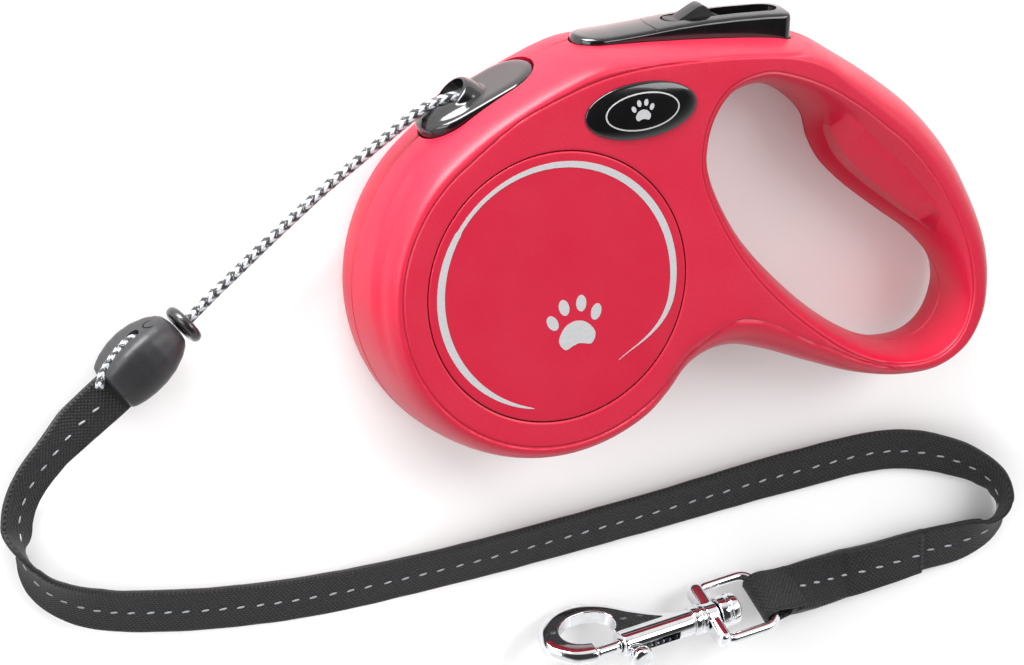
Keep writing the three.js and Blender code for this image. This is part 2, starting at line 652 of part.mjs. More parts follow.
// ---- Bolt snap, drawn with +X from the hook to the strap and +Y to the thumb knob ----
const SNAP = { x: 53.3, y: -89.8, z: 11.7, heading: degrees(12), dip: degrees(6), roll: degrees(118) };
const EYE_ROLL = degrees(10);
const snapFrame = new THREE.Group();
snapFrame.position.set(SNAP.x, SNAP.y, SNAP.z);
snapFrame.rotation.set(SNAP.roll, SNAP.dip, SNAP.heading, "ZYX");
root.add(snapFrame);
const eyeFrame = new THREE.Group();
eyeFrame.rotation.x = EYE_ROLL;
snapFrame.add(eyeFrame);

function rod(r, from, to, y = 0, z = 0, segments = 14) {
  const g = new THREE.CylinderGeometry(r, r, to - from, segments);
  g.rotateZ(-Math.PI / 2);
  g.translate((from + to) / 2, y, z);
  return g;
}

const EYE = { length: 18.4, width: 18.6, bar: 2.6, base: 3.2 };

function roundedBox(x0, x1, y0, y1, r) {
  const shape = new THREE.Shape();
  shape.moveTo(x0 + r, y0);
  shape.lineTo(x1 - r, y0);
  shape.absarc(x1 - r, y0 + r, r, -Math.PI / 2, 0);
  shape.lineTo(x1, y1 - r);
  shape.absarc(x1 - r, y1 - r, r, 0, Math.PI / 2);
  shape.lineTo(x0 + r, y1);
  shape.absarc(x0 + r, y1 - r, r, Math.PI / 2, Math.PI);
  shape.lineTo(x0, y0 + r);
  shape.absarc(x0 + r, y0 + r, r, Math.PI, 1.5 * Math.PI);
  return shape;
}

function snapEye() {
  const half = EYE.width / 2;
  const bevel = 0.6;
  const outline = roundedBox(-EYE.base / 2, EYE.length - EYE.base / 2, -half, half, 3.4);
  const farBar = EYE.length - EYE.base / 2 - EYE.bar;
  const inner = roundedBox(EYE.base / 2, farBar, -half + EYE.bar, half - EYE.bar, 0.6);
  const frame = extruded(outline, EYE.bar - 2 * bevel, {
    bevelEnabled: true, bevelThickness: bevel, bevelSize: bevel, bevelOffset: -bevel, bevelSegments: 1,
    curveSegments: 4,
  });
  frame.translate(0, 0, -EYE.bar / 2 + bevel);
  const window = extruded(inner, 10, { curveSegments: 4 });
  window.translate(0, 0, -5);
  const collar = rod(2.9, -EYE.base / 2, EYE.base / 2 + 0.1);
  const bored = cut(join(solid(frame), solid(collar)), solid(window), solid(rod(1.75, -9, 4)));
  return geometryOf(bored);
}
add("snap_eye", snapEye(), CHROME, eyeFrame);

// The webbing's hairpin around the eye's far bar.
function strapEndLoop() {
  const barX = EYE.length - EYE.base / 2 - EYE.bar / 2;
  const r = EYE.bar / 2 + 0.85;
  const shape = new THREE.Shape();
  const reach = 3.2;
  shape.moveTo(barX + reach, r);
  shape.lineTo(barX, r);
  shape.absarc(barX, 0, r, Math.PI / 2, 1.5 * Math.PI, false);
  shape.lineTo(barX + reach, -r);
  shape.lineTo(barX + reach, -r - STRAP_T + 0.3);
  shape.lineTo(barX, -r - STRAP_T + 0.3);
  shape.absarc(barX, 0, r + STRAP_T - 0.3, 1.5 * Math.PI, Math.PI / 2, true);
  shape.lineTo(barX + reach, r + STRAP_T - 0.3);
  const g = extruded(shape, STRAP_W, { curveSegments: 5 });
  g.rotateX(Math.PI / 2);
  g.translate(0, STRAP_W / 2, 0);
  return g;
}
add("strap_end_loop", strapEndLoop(), WEBBING, eyeFrame);

const HOOK = { x: -30, y: -6.8, openA: 7.4, openB: 4.9, thick: 4 };
const BOLT_STOP_X = -31.6;
const BARREL_END_X = -24.4;
const KNOB_X = -21.9;

function snapHook() {
  const outline = new THREE.Shape(new THREE.CatmullRomCurve3([
    [-24.4, 2.6], [-31, 2.4], [-38, 0.4], [-42.4, -4.8], [-41.4, -10.8], [-36, -15.2], [-29, -16],
    [-22.6, -13.4], [-16.8, -8.6], [-10.8, -4.8], [-5, -3.2], [-5, 2.4], [-14, 2.6],
  ].map(([x, y]) => new THREE.Vector3(x, y, 0)), true, "centripetal").getPoints(48)
    .slice(0, -1).map((p) => new THREE.Vector2(p.x, p.y)));
  const bevel = 0.8;
  const plate = extruded(outline, HOOK.thick - 2 * bevel, {
    bevelEnabled: true, bevelThickness: bevel, bevelSize: bevel, bevelOffset: -bevel, bevelSegments: 2,
  });
  plate.translate(0, 0, -HOOK.thick / 2 + bevel);
  const opening = extruded(ovalShape(HOOK.openA, HOOK.openB, 28), 12);
  opening.translate(HOOK.x, HOOK.y, -6);
  const gap = new THREE.BoxGeometry(BARREL_END_X - BOLT_STOP_X, 7, 12);
  gap.translate((BARREL_END_X + BOLT_STOP_X) / 2, 0.9, 0);
  const barrel = rod(3.1, BARREL_END_X, -5);
  const collar = rod(3.6, -5.2, -2);
  const neck = rod(1.45, -2.2, 3);
  const rivet = rod(4, 2.05, 7.6);
  const bore = rod(1.8, -26, -7.6);
  const slot = new THREE.BoxGeometry(14.4, 6, 2.6);
  slot.translate(-16.4, 3.6, 0);
  const body = join(cut(solid(plate), solid(opening), solid(gap)), solid(barrel), solid(collar));
  return geometryOf(join(cut(body, solid(bore), solid(slot)), solid(neck), solid(rivet)));
}
add("snap_hook", snapHook(), CHROME, snapFrame);

function snapBolt() {
  const shaft = rod(1.45, BOLT_STOP_X + 0.3, -19.6);
  const stem = new THREE.BoxGeometry(2.6, 4.4, 1.9);
  stem.translate(KNOB_X, 2.6, 0);
  const knob = new THREE.CylinderGeometry(3, 2.6, 3.2, 16);
  knob.translate(KNOB_X, 5.4, 0);
  return geometryOf(join(solid(shaft), solid(stem), solid(knob)));
}
add("snap_bolt", snapBolt(), CHROME, snapFrame);

function boltSpring() {
  const g = coilSpring(1.2, 0.25, 11.4, 6, 8, 4);
  g.rotateY(Math.PI / 2);
  g.translate(-19.3, 0, 0);
  return g;
}
add("bolt_spring", boltSpring(), STEEL, snapFrame);

export default root;
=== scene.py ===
"""A retractable leash: red hollow-grip casing, black button and outlet, braided cord, webbing and snap.

Lengths in the geometry code are millimetres in the part's own frame; to_object() turns them into metres.
"""
import math
import bmesh
import bpy
import numpy as np
from mathutils import Matrix, Vector
from mathutils.geometry import delaunay_2d_cdt


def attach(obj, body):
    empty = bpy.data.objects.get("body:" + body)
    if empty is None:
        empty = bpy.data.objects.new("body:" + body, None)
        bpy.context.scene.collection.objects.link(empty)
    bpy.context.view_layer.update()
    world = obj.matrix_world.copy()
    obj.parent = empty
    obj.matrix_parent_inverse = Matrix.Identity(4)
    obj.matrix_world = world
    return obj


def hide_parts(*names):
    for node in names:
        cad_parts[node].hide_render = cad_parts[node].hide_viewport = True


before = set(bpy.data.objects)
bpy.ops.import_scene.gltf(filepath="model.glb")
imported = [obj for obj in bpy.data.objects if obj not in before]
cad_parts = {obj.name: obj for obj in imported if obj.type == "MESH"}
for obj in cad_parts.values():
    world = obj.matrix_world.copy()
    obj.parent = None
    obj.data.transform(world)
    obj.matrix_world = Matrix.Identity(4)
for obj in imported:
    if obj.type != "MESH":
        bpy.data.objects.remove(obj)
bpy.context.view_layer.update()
scene = bpy.context.scene
rng = np.random.default_rng(7)

THICK = 31.0
PART_Z = 11.8
DRUM_CASE_R = 44.8
DRUM_BULGE = 4.6
STRAP_W = 12.0
STRAP_T = 1.6
CORD_R = 1.25


# ---------- camera ----------
TILT = math.radians(28.24)
HEADING = math.radians(33.15)
TO_CAMERA = Vector((-math.sin(TILT) * math.cos(HEADING), math.sin(TILT) * math.sin(HEADING), math.cos(TILT)))
TURN = Vector((0, 0, 1)).rotation_difference(TO_CAMERA)
RIGHT = TURN @ Vector((1, 0, 0))
UP = TURN @ Vector((0, 1, 0))
AIM = Vector((0, 0, 0.031)) - RIGHT * 0.01076 - UP * 0.01084
LENS = 800
DISTANCE = 0.2424 * LENS / 36


def make_camera():
    data = bpy.data.cameras.new("camera")
    data.lens = LENS
    data.sensor_width = 36
    data.clip_end = 20
    camera = bpy.data.objects.new("camera", data)
    camera.location = AIM + TO_CAMERA * DISTANCE
    camera.rotation_mode = "QUATERNION"
    camera.rotation_quaternion = TURN
    scene.collection.objects.link(camera)
    scene.camera = camera


make_camera()


# ---------- curves and meshes ----------
def catmull(points, per=24, closed=False):
    """Centripetal Catmull-Rom samples, `per` to each span; an open curve keeps its last point."""
    p = np.array(points, float)
    n = len(p)
    if closed:
        p = np.vstack([p[-1], p, p[0], p[1]])
        spans = n
    else:
        p = np.vstack([2 * p[0] - p[1], p, 2 * p[-1] - p[-2]])
        spans = n - 1
    out = []
    for i in range(spans):
        p0, p1, p2, p3 = p[i:i + 4]
        d = [max(np.linalg.norm(b - a) ** 0.5, 1e-6) for a, b in ((p0, p1), (p1, p2), (p2, p3))]
        m1 = (p1 - p0) / d[0] - (p2 - p0) / (d[0] + d[1]) + (p2 - p1) / d[1]
        m2 = (p2 - p1) / d[1] - (p3 - p1) / (d[1] + d[2]) + (p3 - p2) / d[2]
        m1, m2 = m1 * d[1], m2 * d[1]
        for k in range(per):
            t = k / per
            a = 2 * p1 - 2 * p2 + m1 + m2
            b = -3 * p1 + 3 * p2 - 2 * m1 - m2
            out.append(p1 + m1 * t + b * t * t + a * t ** 3)
    if not closed:
        out.append(p[-2])
    return np.array(out)


def lengths(points):
    return np.concatenate([[0], np.cumsum(np.linalg.norm(np.diff(points, axis=0), axis=1))])


def resample(points, count, closed=False):
    """`count` points evenly along a polyline; a closed one doesn't repeat its first point."""
    line = np.vstack([points, points[:1]]) if closed else points
    s = lengths(line[:, :3])
    at = np.linspace(0, s[-1], count + 1)[:-1] if closed else np.linspace(0, s[-1], count)
    return np.stack([np.interp(at, s, line[:, k]) for k in range(line.shape[1])], 1)


def to_object(name, vertices, faces, material, body, smooth=35.0, replaces=()):
    mesh = bpy.data.meshes.new(name)
    mesh.from_pydata((np.array(vertices, float) * 0.001).tolist(), [], [list(map(int, f)) for f in faces])
    mesh.validate()
    mesh.update()
    obj = bpy.data.objects.new(name, mesh)
    scene.collection.objects.link(obj)
    finish_piece(obj, material, body, smooth, replaces)
    return obj


def finish_piece(obj, material, body, smooth=35.0, replaces=()):
    mesh = obj.data
    mesh.materials.clear()
    mesh.materials.append(material)
    mesh.polygons.foreach_set("use_smooth", [True] * len(mesh.polygons))
    if smooth < 180:
        mesh.set_sharp_from_angle(angle=math.radians(smooth))
    if body:
        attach(obj, body)
    if replaces:
        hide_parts(*replaces)


def applied(obj):
    """The object's modifiers are applied to its mesh."""
    bpy.context.view_layer.update()
    graph = bpy.context.evaluated_depsgraph_get()
    new = bpy.data.meshes.new_from_object(obj.evaluated_get(graph), depsgraph=graph)
    old = obj.data
    obj.modifiers.clear()
    obj.data = new
    bpy.data.meshes.remove(old)
    return obj


def raw_object(name, vertices, faces):
    mesh = bpy.data.meshes.new(name)
    mesh.from_pydata((np.array(vertices, float) * 0.001).tolist(), [], [list(map(int, f)) for f in faces])
    mesh.update()
    obj = bpy.data.objects.new(name, mesh)
    scene.collection.objects.link(obj)
    fix = bmesh.new()
    fix.from_mesh(mesh)
    bmesh.ops.recalc_face_normals(fix, faces=fix.faces)
    fix.to_mesh(mesh)
    fix.free()
    return obj


def boolean(obj, tools, operation="DIFFERENCE"):
    for tool in tools:
        m = obj.modifiers.new("cut", "BOOLEAN")
        m.operation = operation
        m.solver = "MANIFOLD"
        m.object = tool
        applied(obj)
        bpy.data.objects.remove(tool)
    return obj


def grid_faces(rows, columns, wrap=True, first=0):
    """Quads between `rows` loops of `columns` points."""
    faces = []
    last = columns if wrap else columns - 1
    for r in range(rows - 1):
        for c in range(last):
            a = first + r * columns + c
            b = first + r * columns + (c + 1) % columns
            faces.append((a, b, b + columns, a + columns))
    return faces


def lathe(profile, segments=48, axis="x"):
    """A closed solid turned from [along, radius] points whose first and last radius is 0."""
    inner = [p for p in profile if p[1] > 1e-6]
    turn = np.linspace(0, 2 * np.pi, segments, endpoint=False)
    vertices = [[profile[0][0], 0, 0]]
    for a, r in inner:
        vertices += [[a, r * math.cos(t), r * math.sin(t)] for t in turn]
    vertices.append([profile[-1][0], 0, 0])
    faces = grid_faces(len(inner), segments, first=1)
    end = len(vertices) - 1
    base = 1 + (len(inner) - 1) * segments
    for k in range(segments):
        j = (k + 1) % segments
        faces.append((0, 1 + j, 1 + k))
        faces.append((end, base + k, base + j))
    v = np.array(vertices, float)
    if axis == "z":
        v = v[:, [1, 2, 0]]
    if axis == "y":
        v = v[:, [2, 0, 1]]
    return v, faces


def rounded(profile, radius, steps=3):
    """Rounds the corners of a [along, radius] profile."""
    p = [np.array(q, float) for q in profile]
    out = [p[0]]
    for a, b, c in zip(p, p[1:], p[2:]):
        r = min(radius, np.linalg.norm(a - b) * 0.45, np.linalg.norm(c - b) * 0.45)
        start = b + (a - b) / np.linalg.norm(a - b) * r
        end = b + (c - b) / np.linalg.norm(c - b) * r
        for k in range(steps + 1):
            t = k / steps
            out.append((1 - t) ** 2 * start + 2 * t * (1 - t) * b + t * t * end)
    out.append(p[-1])
    return [q.tolist() for q in out]


def prism(loop, z0, z1):
    """A straight solid over a 2-D outline."""
    n = len(loop)
    v = [[x, y, z0] for x, y in loop] + [[x, y, z1] for x, y in loop]
    return np.array(v), grid_faces(2, n) + [tuple(range(n - 1, -1, -1)), tuple(range(n, 2 * n))]


def sweep(points, section, up=None, closed=False):
    """A tube of the 2-D `section` (along side, normal) carried along `points` with little twist."""
    p = np.array(points, float)
    t = np.gradient(p, axis=0)
    if closed:
        t = np.roll(p, -1, 0) - np.roll(p, 1, 0)
    t /= np.linalg.norm(t, axis=1)[:, None]
    side = np.cross(t[0], up if up is not None else (0, 0, 1))
    vertices = []
    for q, d in zip(p, t):
        if up is not None:
            side = np.cross(d, up)
        side = side - d * side.dot(d)
        side /= np.linalg.norm(side)
        normal = np.cross(side, d)
        vertices += [(q + side * a + normal * b).tolist() for a, b in section]
    n, m = len(p), len(section)
    faces = grid_faces(n, m)
    if closed:
        faces += [((n - 1) * m + c, (n - 1) * m + (c + 1) % m, (c + 1) % m, c) for c in range(m)]
    else:
        faces += [tuple(range(m - 1, -1, -1)), tuple(range((n - 1) * m, n * m))]
    return np.array(vertices), faces


def circle(r, n=16):
    return [(r * math.cos(a), r * math.sin(a)) for a in np.linspace(0, 2 * np.pi, n, endpoint=False)]


def smoothstep(x, a, b):
    t = np.clip((np.asarray(x, float) - a) / (b - a), 0, 1)
    return t * t * (3 - 2 * t)


# ---------- materials ----------
def new_material(name, **inputs):
    material = bpy.data.materials.new(name)
    material.use_nodes = True
    bsdf = material.node_tree.nodes["Principled BSDF"]
    for key, value in inputs.items():
        bsdf.inputs[key.replace("_", " ")].default_value = value
    return material, material.node_tree, bsdf


def node(tree, kind, **settings):
    n = tree.nodes.new(kind)
    for key, value in settings.items():
        if hasattr(n, key):
            setattr(n, key, value)
        else:
            n.inputs[key.replace("_", " ")].default_value = value
    return n


def noise(tree, scale, detail=3.0, rough=0.5):
    coords = node(tree, "ShaderNodeTexCoord")
    n = node(tree, "ShaderNodeTexNoise", Scale=scale, Detail=detail, Roughness=rough)
    tree.links.new(coords.outputs["Object"], n.inputs["Vector"])
    return n.outputs["Fac"]


def remap(tree, value, low, high, to_low, to_high):
    n = node(tree, "ShaderNodeMapRange")
    tree.links.new(value, n.inputs["Value"])
    for key, number in (("From Min", low), ("From Max", high), ("To Min", to_low), ("To Max", to_high)):
        n.inputs[key].default_value = number
    return n.outputs["Result"]


def mix_colour(tree, factor, a, b):
    n = node(tree, "ShaderNodeMix", data_type="RGBA")
    for socket, value in ((n.inputs["Factor"], factor), (n.inputs["A"], a), (n.inputs["B"], b)):
        if isinstance(value, (int, float, tuple)):
            socket.default_value = value
        else:
            tree.links.new(value, socket)
    return n.outputs["Result"]


def math_node(tree, operation, a, b=None, c=None):
    n = node(tree, "ShaderNodeMath", operation=operation)
    for socket, value in zip(n.inputs, (a, b, c)):
        if value is None:
            continue
        if isinstance(value, (int, float)):
            socket.default_value = value
        else:
            tree.links.new(value, socket)
    return n.outputs[0]


def bump(tree, bsdf, height, distance, strength=1.0, normal=None):
    n = node(tree, "ShaderNodeBump", Strength=strength, Distance=distance)
    tree.links.new(height, n.inputs["Height"])
    if normal is not None:
        tree.links.new(normal, n.inputs["Normal"])
    tree.links.new(n.outputs["Normal"], bsdf.inputs["Normal"])
    return n.outputs["Normal"]


def grained(name, colour, dark, roughness, grain=1700.0, depth=0.00006, coat=0.0, **extra):
    """Moulded plastic: a fine spark-eroded grain, faint colour drift and uneven gloss."""
    material, tree, bsdf = new_material(name, Roughness=roughness, **extra)
    if coat:
        bsdf.inputs["Coat Weight"].default_value = coat
        bsdf.inputs["Coat Roughness"].default_value = 0.3
    drift = remap(tree, noise(tree, 26, 2), 0.35, 0.65, 0.0, 1.0)
    speck = remap(tree, noise(tree, grain * 0.8, 2), 0.35, 0.65, 0.0, 0.35)
    both = math_node(tree, "ADD", math_node(tree, "MULTIPLY", drift, 0.25), speck)
    tree.links.new(mix_colour(tree, both, (*colour, 1), (*dark, 1)), bsdf.inputs["Base Color"])
    gloss = remap(tree, noise(tree, 60, 3), 0.3, 0.7, roughness - 0.04, roughness + 0.05)
    tree.links.new(gloss, bsdf.inputs["Roughness"])
    bump(tree, bsdf, noise(tree, grain, 2, 0.6), depth, 0.55)
    return material


RED = grained("casing_red", (0.46, 0.0055, 0.032), (0.40, 0.0035, 0.024), 0.40)
LABEL_RED = grained("label_red", (0.44, 0.005, 0.030), (0.38, 0.003, 0.022), 0.36, 2300, 0.00004)
STOP_GREY = grained("stop_grey", (0.021, 0.020, 0.022), (0.014, 0.013, 0.015), 0.42, 1500, 0.00006)
DARK = grained("slider_black", (0.008, 0.008, 0.009), (0.005, 0.005, 0.006), 0.30, 1500, 0.00003)
WHITE = grained("inner_white", (0.69, 0.69, 0.65), (0.62, 0.62, 0.58), 0.5)


def glossy(name, colour, roughness, coat=0.45):
    """Polished plastic or rubber, with faint smears in its gloss and a slow waviness."""
    material, tree, bsdf = new_material(name, Roughness=roughness)
    bsdf.inputs["Base Color"].default_value = (*colour, 1)
    bsdf.inputs["Coat Weight"].default_value = coat
    bsdf.inputs["Coat Roughness"].default_value = 0.03
    smear = remap(tree, noise(tree, 90, 4, 0.65), 0.35, 0.7, roughness * 0.7, roughness * 1.6)
    tree.links.new(smear, bsdf.inputs["Roughness"])
    shade = remap(tree, noise(tree, 300, 2), 0.3, 0.7, 0.0, 1.0)
    tree.links.new(mix_colour(tree, shade, (*colour, 1), (*[c * 0.75 for c in colour], 1)),
                   bsdf.inputs["Base Color"])
    bump(tree, bsdf, noise(tree, 110, 1), 0.00002, 0.4)
    return material


GLOSS = glossy("gloss_black", (0.004, 0.004, 0.0045), 0.14)
RUBBER = glossy("ring_rubber", (0.008, 0.008, 0.009), 0.26, 0.5)


def metal(name, colour, roughness, wave=0.00003):
    material, tree, bsdf = new_material(name, Metallic=1.0, Roughness=roughness)
    tint = remap(tree, noise(tree, 400, 3), 0.35, 0.65, 0.0, 1.0)
    tree.links.new(mix_colour(tree, tint, (*colour, 1), (*[c * 0.9 for c in colour], 1)),
                   bsdf.inputs["Base Color"])
    smear = remap(tree, noise(tree, 240, 4, 0.7), 0.35, 0.7, roughness * 0.6, roughness * 1.7)
    tree.links.new(smear, bsdf.inputs["Roughness"])
    bump(tree, bsdf, noise(tree, 180, 2), wave, 0.35)
    return material


CHROME = metal("chrome", (0.83, 0.84, 0.86), 0.045)
STEEL = metal("steel", (0.45, 0.46, 0.48), 0.26)
SILVER = grained("silver_print", (0.40, 0.40, 0.41), (0.34, 0.34, 0.35), 0.34)


def braid_material():
    """Yarn colour comes from the mesh's braid attribute; fibres come from fine noise."""
    material, tree, bsdf = new_material("braid", Roughness=0.62)
    bsdf.inputs["Sheen Weight"].default_value = 0.25
    yarn = node(tree, "ShaderNodeAttribute", attribute_name="braid")
    fibre = remap(tree, noise(tree, 2600, 3, 0.7), 0.3, 0.7, 0.0, 1.0)
    white = mix_colour(tree, fibre, (0.56, 0.58, 0.61, 1), (0.30, 0.32, 0.35, 1))
    black = mix_colour(tree, fibre, (0.003, 0.003, 0.0035, 1), (0.012, 0.012, 0.014, 1))
    tree.links.new(mix_colour(tree, yarn.outputs["Fac"], black, white), bsdf.inputs["Base Color"])
    bump(tree, bsdf, noise(tree, 3000, 2, 0.7), 0.00012, 0.7)
    return material


def webbing_material():
    """Fine plain-woven webbing from UVs in millimetres: warp cords crossed by weft ribs, with painted shade
    in the weave's hollows and lighter raised cords.
    """
    material, tree, bsdf = new_material("webbing", Roughness=0.58)
    bsdf.inputs["Sheen Weight"].default_value = 0.04
    bsdf.inputs["Sheen Roughness"].default_value = 0.4
    uv = node(tree, "ShaderNodeUVMap", uv_map="weave")
    split = node(tree, "ShaderNodeSeparateXYZ")
    tree.links.new(uv.outputs["UV"], split.inputs["Vector"])
    across = math_node(tree, "MULTIPLY", split.outputs["X"], 1 / 0.62)
    cell = math_node(tree, "FLOOR", across)
    cord = math_node(tree, "ABSOLUTE", math_node(tree, "SINE", math_node(tree, "MULTIPLY", across, math.pi)))
    shift = math_node(tree, "MULTIPLY", cell, math.pi)
    run = math_node(tree, "MULTIPLY", split.outputs["Y"], 2 * math.pi / 1.15)
    wave = math_node(tree, "SINE", math_node(tree, "ADD", run, shift))
    raised = math_node(tree, "MULTIPLY", cord, math_node(tree, "MULTIPLY_ADD", wave, 0.5, 0.5))
    fuzz = noise(tree, 2400, 3, 0.7)
    height = math_node(tree, "MULTIPLY_ADD", fuzz, 0.35, raised)
    # painted shade: the colour follows the weave's height, darker in the hollows between cords and lighter on
    # the raised cords
    tone = remap(tree, height, 0.1, 1.1, 0.0, 1.0)
    tree.links.new(mix_colour(tree, tone, (0.0010, 0.0009, 0.0011, 1), (0.0085, 0.0080, 0.0090, 1)),
                   bsdf.inputs["Base Color"])
    bump(tree, bsdf, height, 0.00032, 0.9)
    return material


BRAID = braid_material()
WEBBING = webbing_material()
THREAD = grained("reflective_thread", (0.34, 0.37, 0.40), (0.20, 0.22, 0.24), 0.4, 2600, 0.0001)
SEAM = grained("seam_thread", (0.012, 0.012, 0.013), (0.006, 0.006, 0.006), 0.6, 2600, 0.0001)


# ---------- cord ----------
def carried_frames(points):
    """Side and normal vectors along a path, turning as little as they can."""
    t = np.gradient(points, axis=0)
    t /= np.linalg.norm(t, axis=1)[:, None]
    side = np.cross(t[0], (0, 0, 1.0))
    sides = []
    for d in t:
        side = side - d * side.dot(d)
        side /= np.linalg.norm(side)
        sides.append(side)
    sides = np.array(sides)
    return t, sides, np.cross(sides, t)


def braided(name, points, radius, body, replaces, columns=8, pitch=2.9, around=40, step=0.17):
    """A round braid: zigzag yarns stand proud of the cord's body, white and black in turn."""
    line = catmull(points)
    total = lengths(line)[-1]
    p = resample(line, int(total / step))
    s = lengths(p)[:, None]
    t, side, normal = carried_frames(p)
    a = np.linspace(0, 2 * np.pi, around, endpoint=False)[None, :]
    column = a / (2 * np.pi) * columns
    f = column - np.floor(column)
    sign = np.where(np.floor(column) % 2 == 0, 1.0, -1.0)
    phase = s / pitch + sign * (f - 0.5) * 0.46
    yarn = np.sin(2 * np.pi * phase)
    lift = 0.17 * np.abs(yarn) ** 0.5 * (0.35 + 0.65 * np.sin(np.pi * f) ** 0.5)
    strand = 0.03 * np.sin(2 * np.pi * f * 3)
    r = (radius - 0.11 + lift + strand)[:, :, None]
    out = side[:, None, :] * np.cos(a)[:, :, None] + normal[:, None, :] * np.sin(a)[:, :, None]
    v = (p[:, None, :] + out * r).reshape(-1, 3)
    n = len(p)
    faces = grid_faces(n, around) + [tuple(range(around - 1, -1, -1)),
                                     tuple(range((n - 1) * around, n * around))]
    obj = to_object(name, v, faces, BRAID, body, 180, replaces)
    value = np.clip(0.15 + yarn * 3.0, 0, 1) * (lift > 0.03)
    flecks = rng.random(value.shape) > 0.93
    value = np.where(flecks, 1 - value, value)
    layer = obj.data.attributes.new("braid", "FLOAT", "POINT")
    layer.data.foreach_set("value", value.reshape(-1).astype(np.float32))
    return obj, p


FREE_RUN = [
    (-15.2, 42.1, 13), (-18.5, 42.6, 13), (-21.6, 42.9, 13), (-25, 42.1, 12.9), (-29.8, 39.9, 12.6),
    (-38.5, 33.2, 12), (-45.7, 27.3, 11.4), (-52.9, 21.3, 10.8), (-59.7, 15, 10.2), (-66.5, 8.5, 9.5),
    (-73.1, 2, 8.9), (-78.8, -3.6, 8.3), (-85.3, -10.3, 7.7),
]
cord, cord_path = braided("cord_braid", FREE_RUN, CORD_R, "handle", ["cord_line"])

# ---------- cord stop ----------
RING = np.array([-85.6, -10.7, 7.6])
STOP_TURN = math.radians(224)
STOP_SIDE = -1.2


def at_stop(v):
    c, s = math.cos(STOP_TURN), math.sin(STOP_TURN)
    v = np.array(v, float)
    return np.stack([v[:, 0] * c - v[:, 1] * s, v[:, 0] * s + v[:, 1] * c, v[:, 2]], 1) + RING


def stop_section(s):
    """Half width, half height and the squareness of the two sides of the stop, s mm from its nose."""
    keys = [0, 0.45, 1.4, 3.5, 7, 10.5, 14, 17, 19.3, 20.3, 20.7]
    width = [2.3, 4.1, 5.1, 6.3, 7.3, 7.7, 7.6, 7.2, 6.6, 6.1, 5.3]
    height = [2.1, 3.8, 4.7, 5.8, 6.8, 7.15, 7.0, 6.4, 5.6, 5.1, 4.2]
    outer = [2, 2, 2.05, 2.1, 2.3, 2.4, 2.5, 2.6, 2.7, 2.7, 2.7]
    inner = [2, 2.2, 2.6, 3.2, 4.0, 4.6, 4.8, 4.8, 4.6, 4.4, 4.2]
    return [np.interp(s, keys, k) for k in (width, height, outer, inner)]


def make_stop():
    around = 96
    along = np.concatenate([[0, 0.12, 0.3, 0.55, 0.9], np.linspace(1.4, 19.6, 30),
                            [19.9, 20.15, 20.35, 20.5, 20.62, 20.7]])
    vertices = []
    for s in along:
        w, h, outer, inner = stop_section(s)
        for a in np.linspace(0, 2 * np.pi, around, endpoint=False):
            ca, sa = math.cos(a), math.sin(a)
            power = outer if ca > 0 else inner
            y = w * math.copysign(abs(ca) ** (2 / power), ca)
            z = h * math.copysign(abs(sa) ** (2 / power), sa)
            vertices.append([2.1 + s, y + STOP_SIDE, max(z, -7.5)])
    faces = grid_faces(len(along), around)
    n = len(along) * around
    faces += [tuple(range(around - 1, -1, -1)), tuple(range(n - around, n))]
    body = raw_object("cord_stop_body", at_stop(vertices), faces)
    groove = sweep(resample(catmull(STOP_GROOVE), 40), circle(1.4, 20))
    hole = lathe([[-12, 0], [-12, 1.7], [-4.5, 1.7], [-4.5, 0]], 32, "y")
    bore = lathe([[-2, 0], [-2, 1.8], [8, 1.8], [8, 0]], 28)
    mark = lathe([[-12, 0], [-12, 1.7], [-7.25, 1.7], [-7.25, 0]], 40, "y")
    mark_in = lathe([[-13, 0], [-13, 1.35], [-6, 1.35], [-6, 0]], 40, "y")
    parting = [(s + 2.1, STOP_SIDE + 0.9, stop_section(s)[1] + 0.02) for s in np.linspace(5, 20.5, 30)]
    line = sweep(np.array(parting), circle(0.14, 8))
    tools = [raw_object("t", at_stop(g[0]), g[1])
             for g in (groove, (hole[0] + [10.8, 0, 1.8], hole[1]), bore, line)]
    boolean(body, tools)
    rim = raw_object("t", at_stop(mark[0] + [6.2, 0, 1.9]), mark[1])
    boolean(rim, [raw_object("t", at_stop(mark_in[0] + [6.2, 0, 1.9]), mark_in[1])])
    boolean(body, [rim])
    finish_piece(body, STOP_GREY, "handle", 38, ["cord_stop"])
    body.modifiers.new("weighted", "WEIGHTED_NORMAL").keep_sharp = True
    return body


STOP_GROOVE = [(11, -8.6, 1.8), (14, -8.9, 1.8), (18, -8.6, 1.9), (22, -7.9, 2.1), (26, -7.0, 2.3)]
stop = make_stop()
TAIL = [(10.5, -5.4, 1.8), (10.6, -7.0, 1.8), (11.8, -8.1, 1.8), (14, -8.4, 1.8), (18, -8.1, 1.9),
        (22.2, -7.2, 2.1),
        (24.2, -6.2, 2.3), (25.2, -5.2, 2.2)]
cord_tail, _ = braided("cord_tail_braid", at_stop(TAIL), 1.0, "handle", ["cord_tail"], 6, 2.3, 32, 0.12)
torus = sweep([(0, 3.85 * math.cos(a), 3.85 * math.sin(a))
               for a in np.linspace(0, 2 * np.pi, 72, endpoint=False)],
              circle(1.45, 24), up=(1, 0, 0), closed=True)
bumper = to_object("bumper_ring_round", at_stop(torus[0]), torus[1], RUBBER, "handle", 180,
                   ["bumper_ring"])

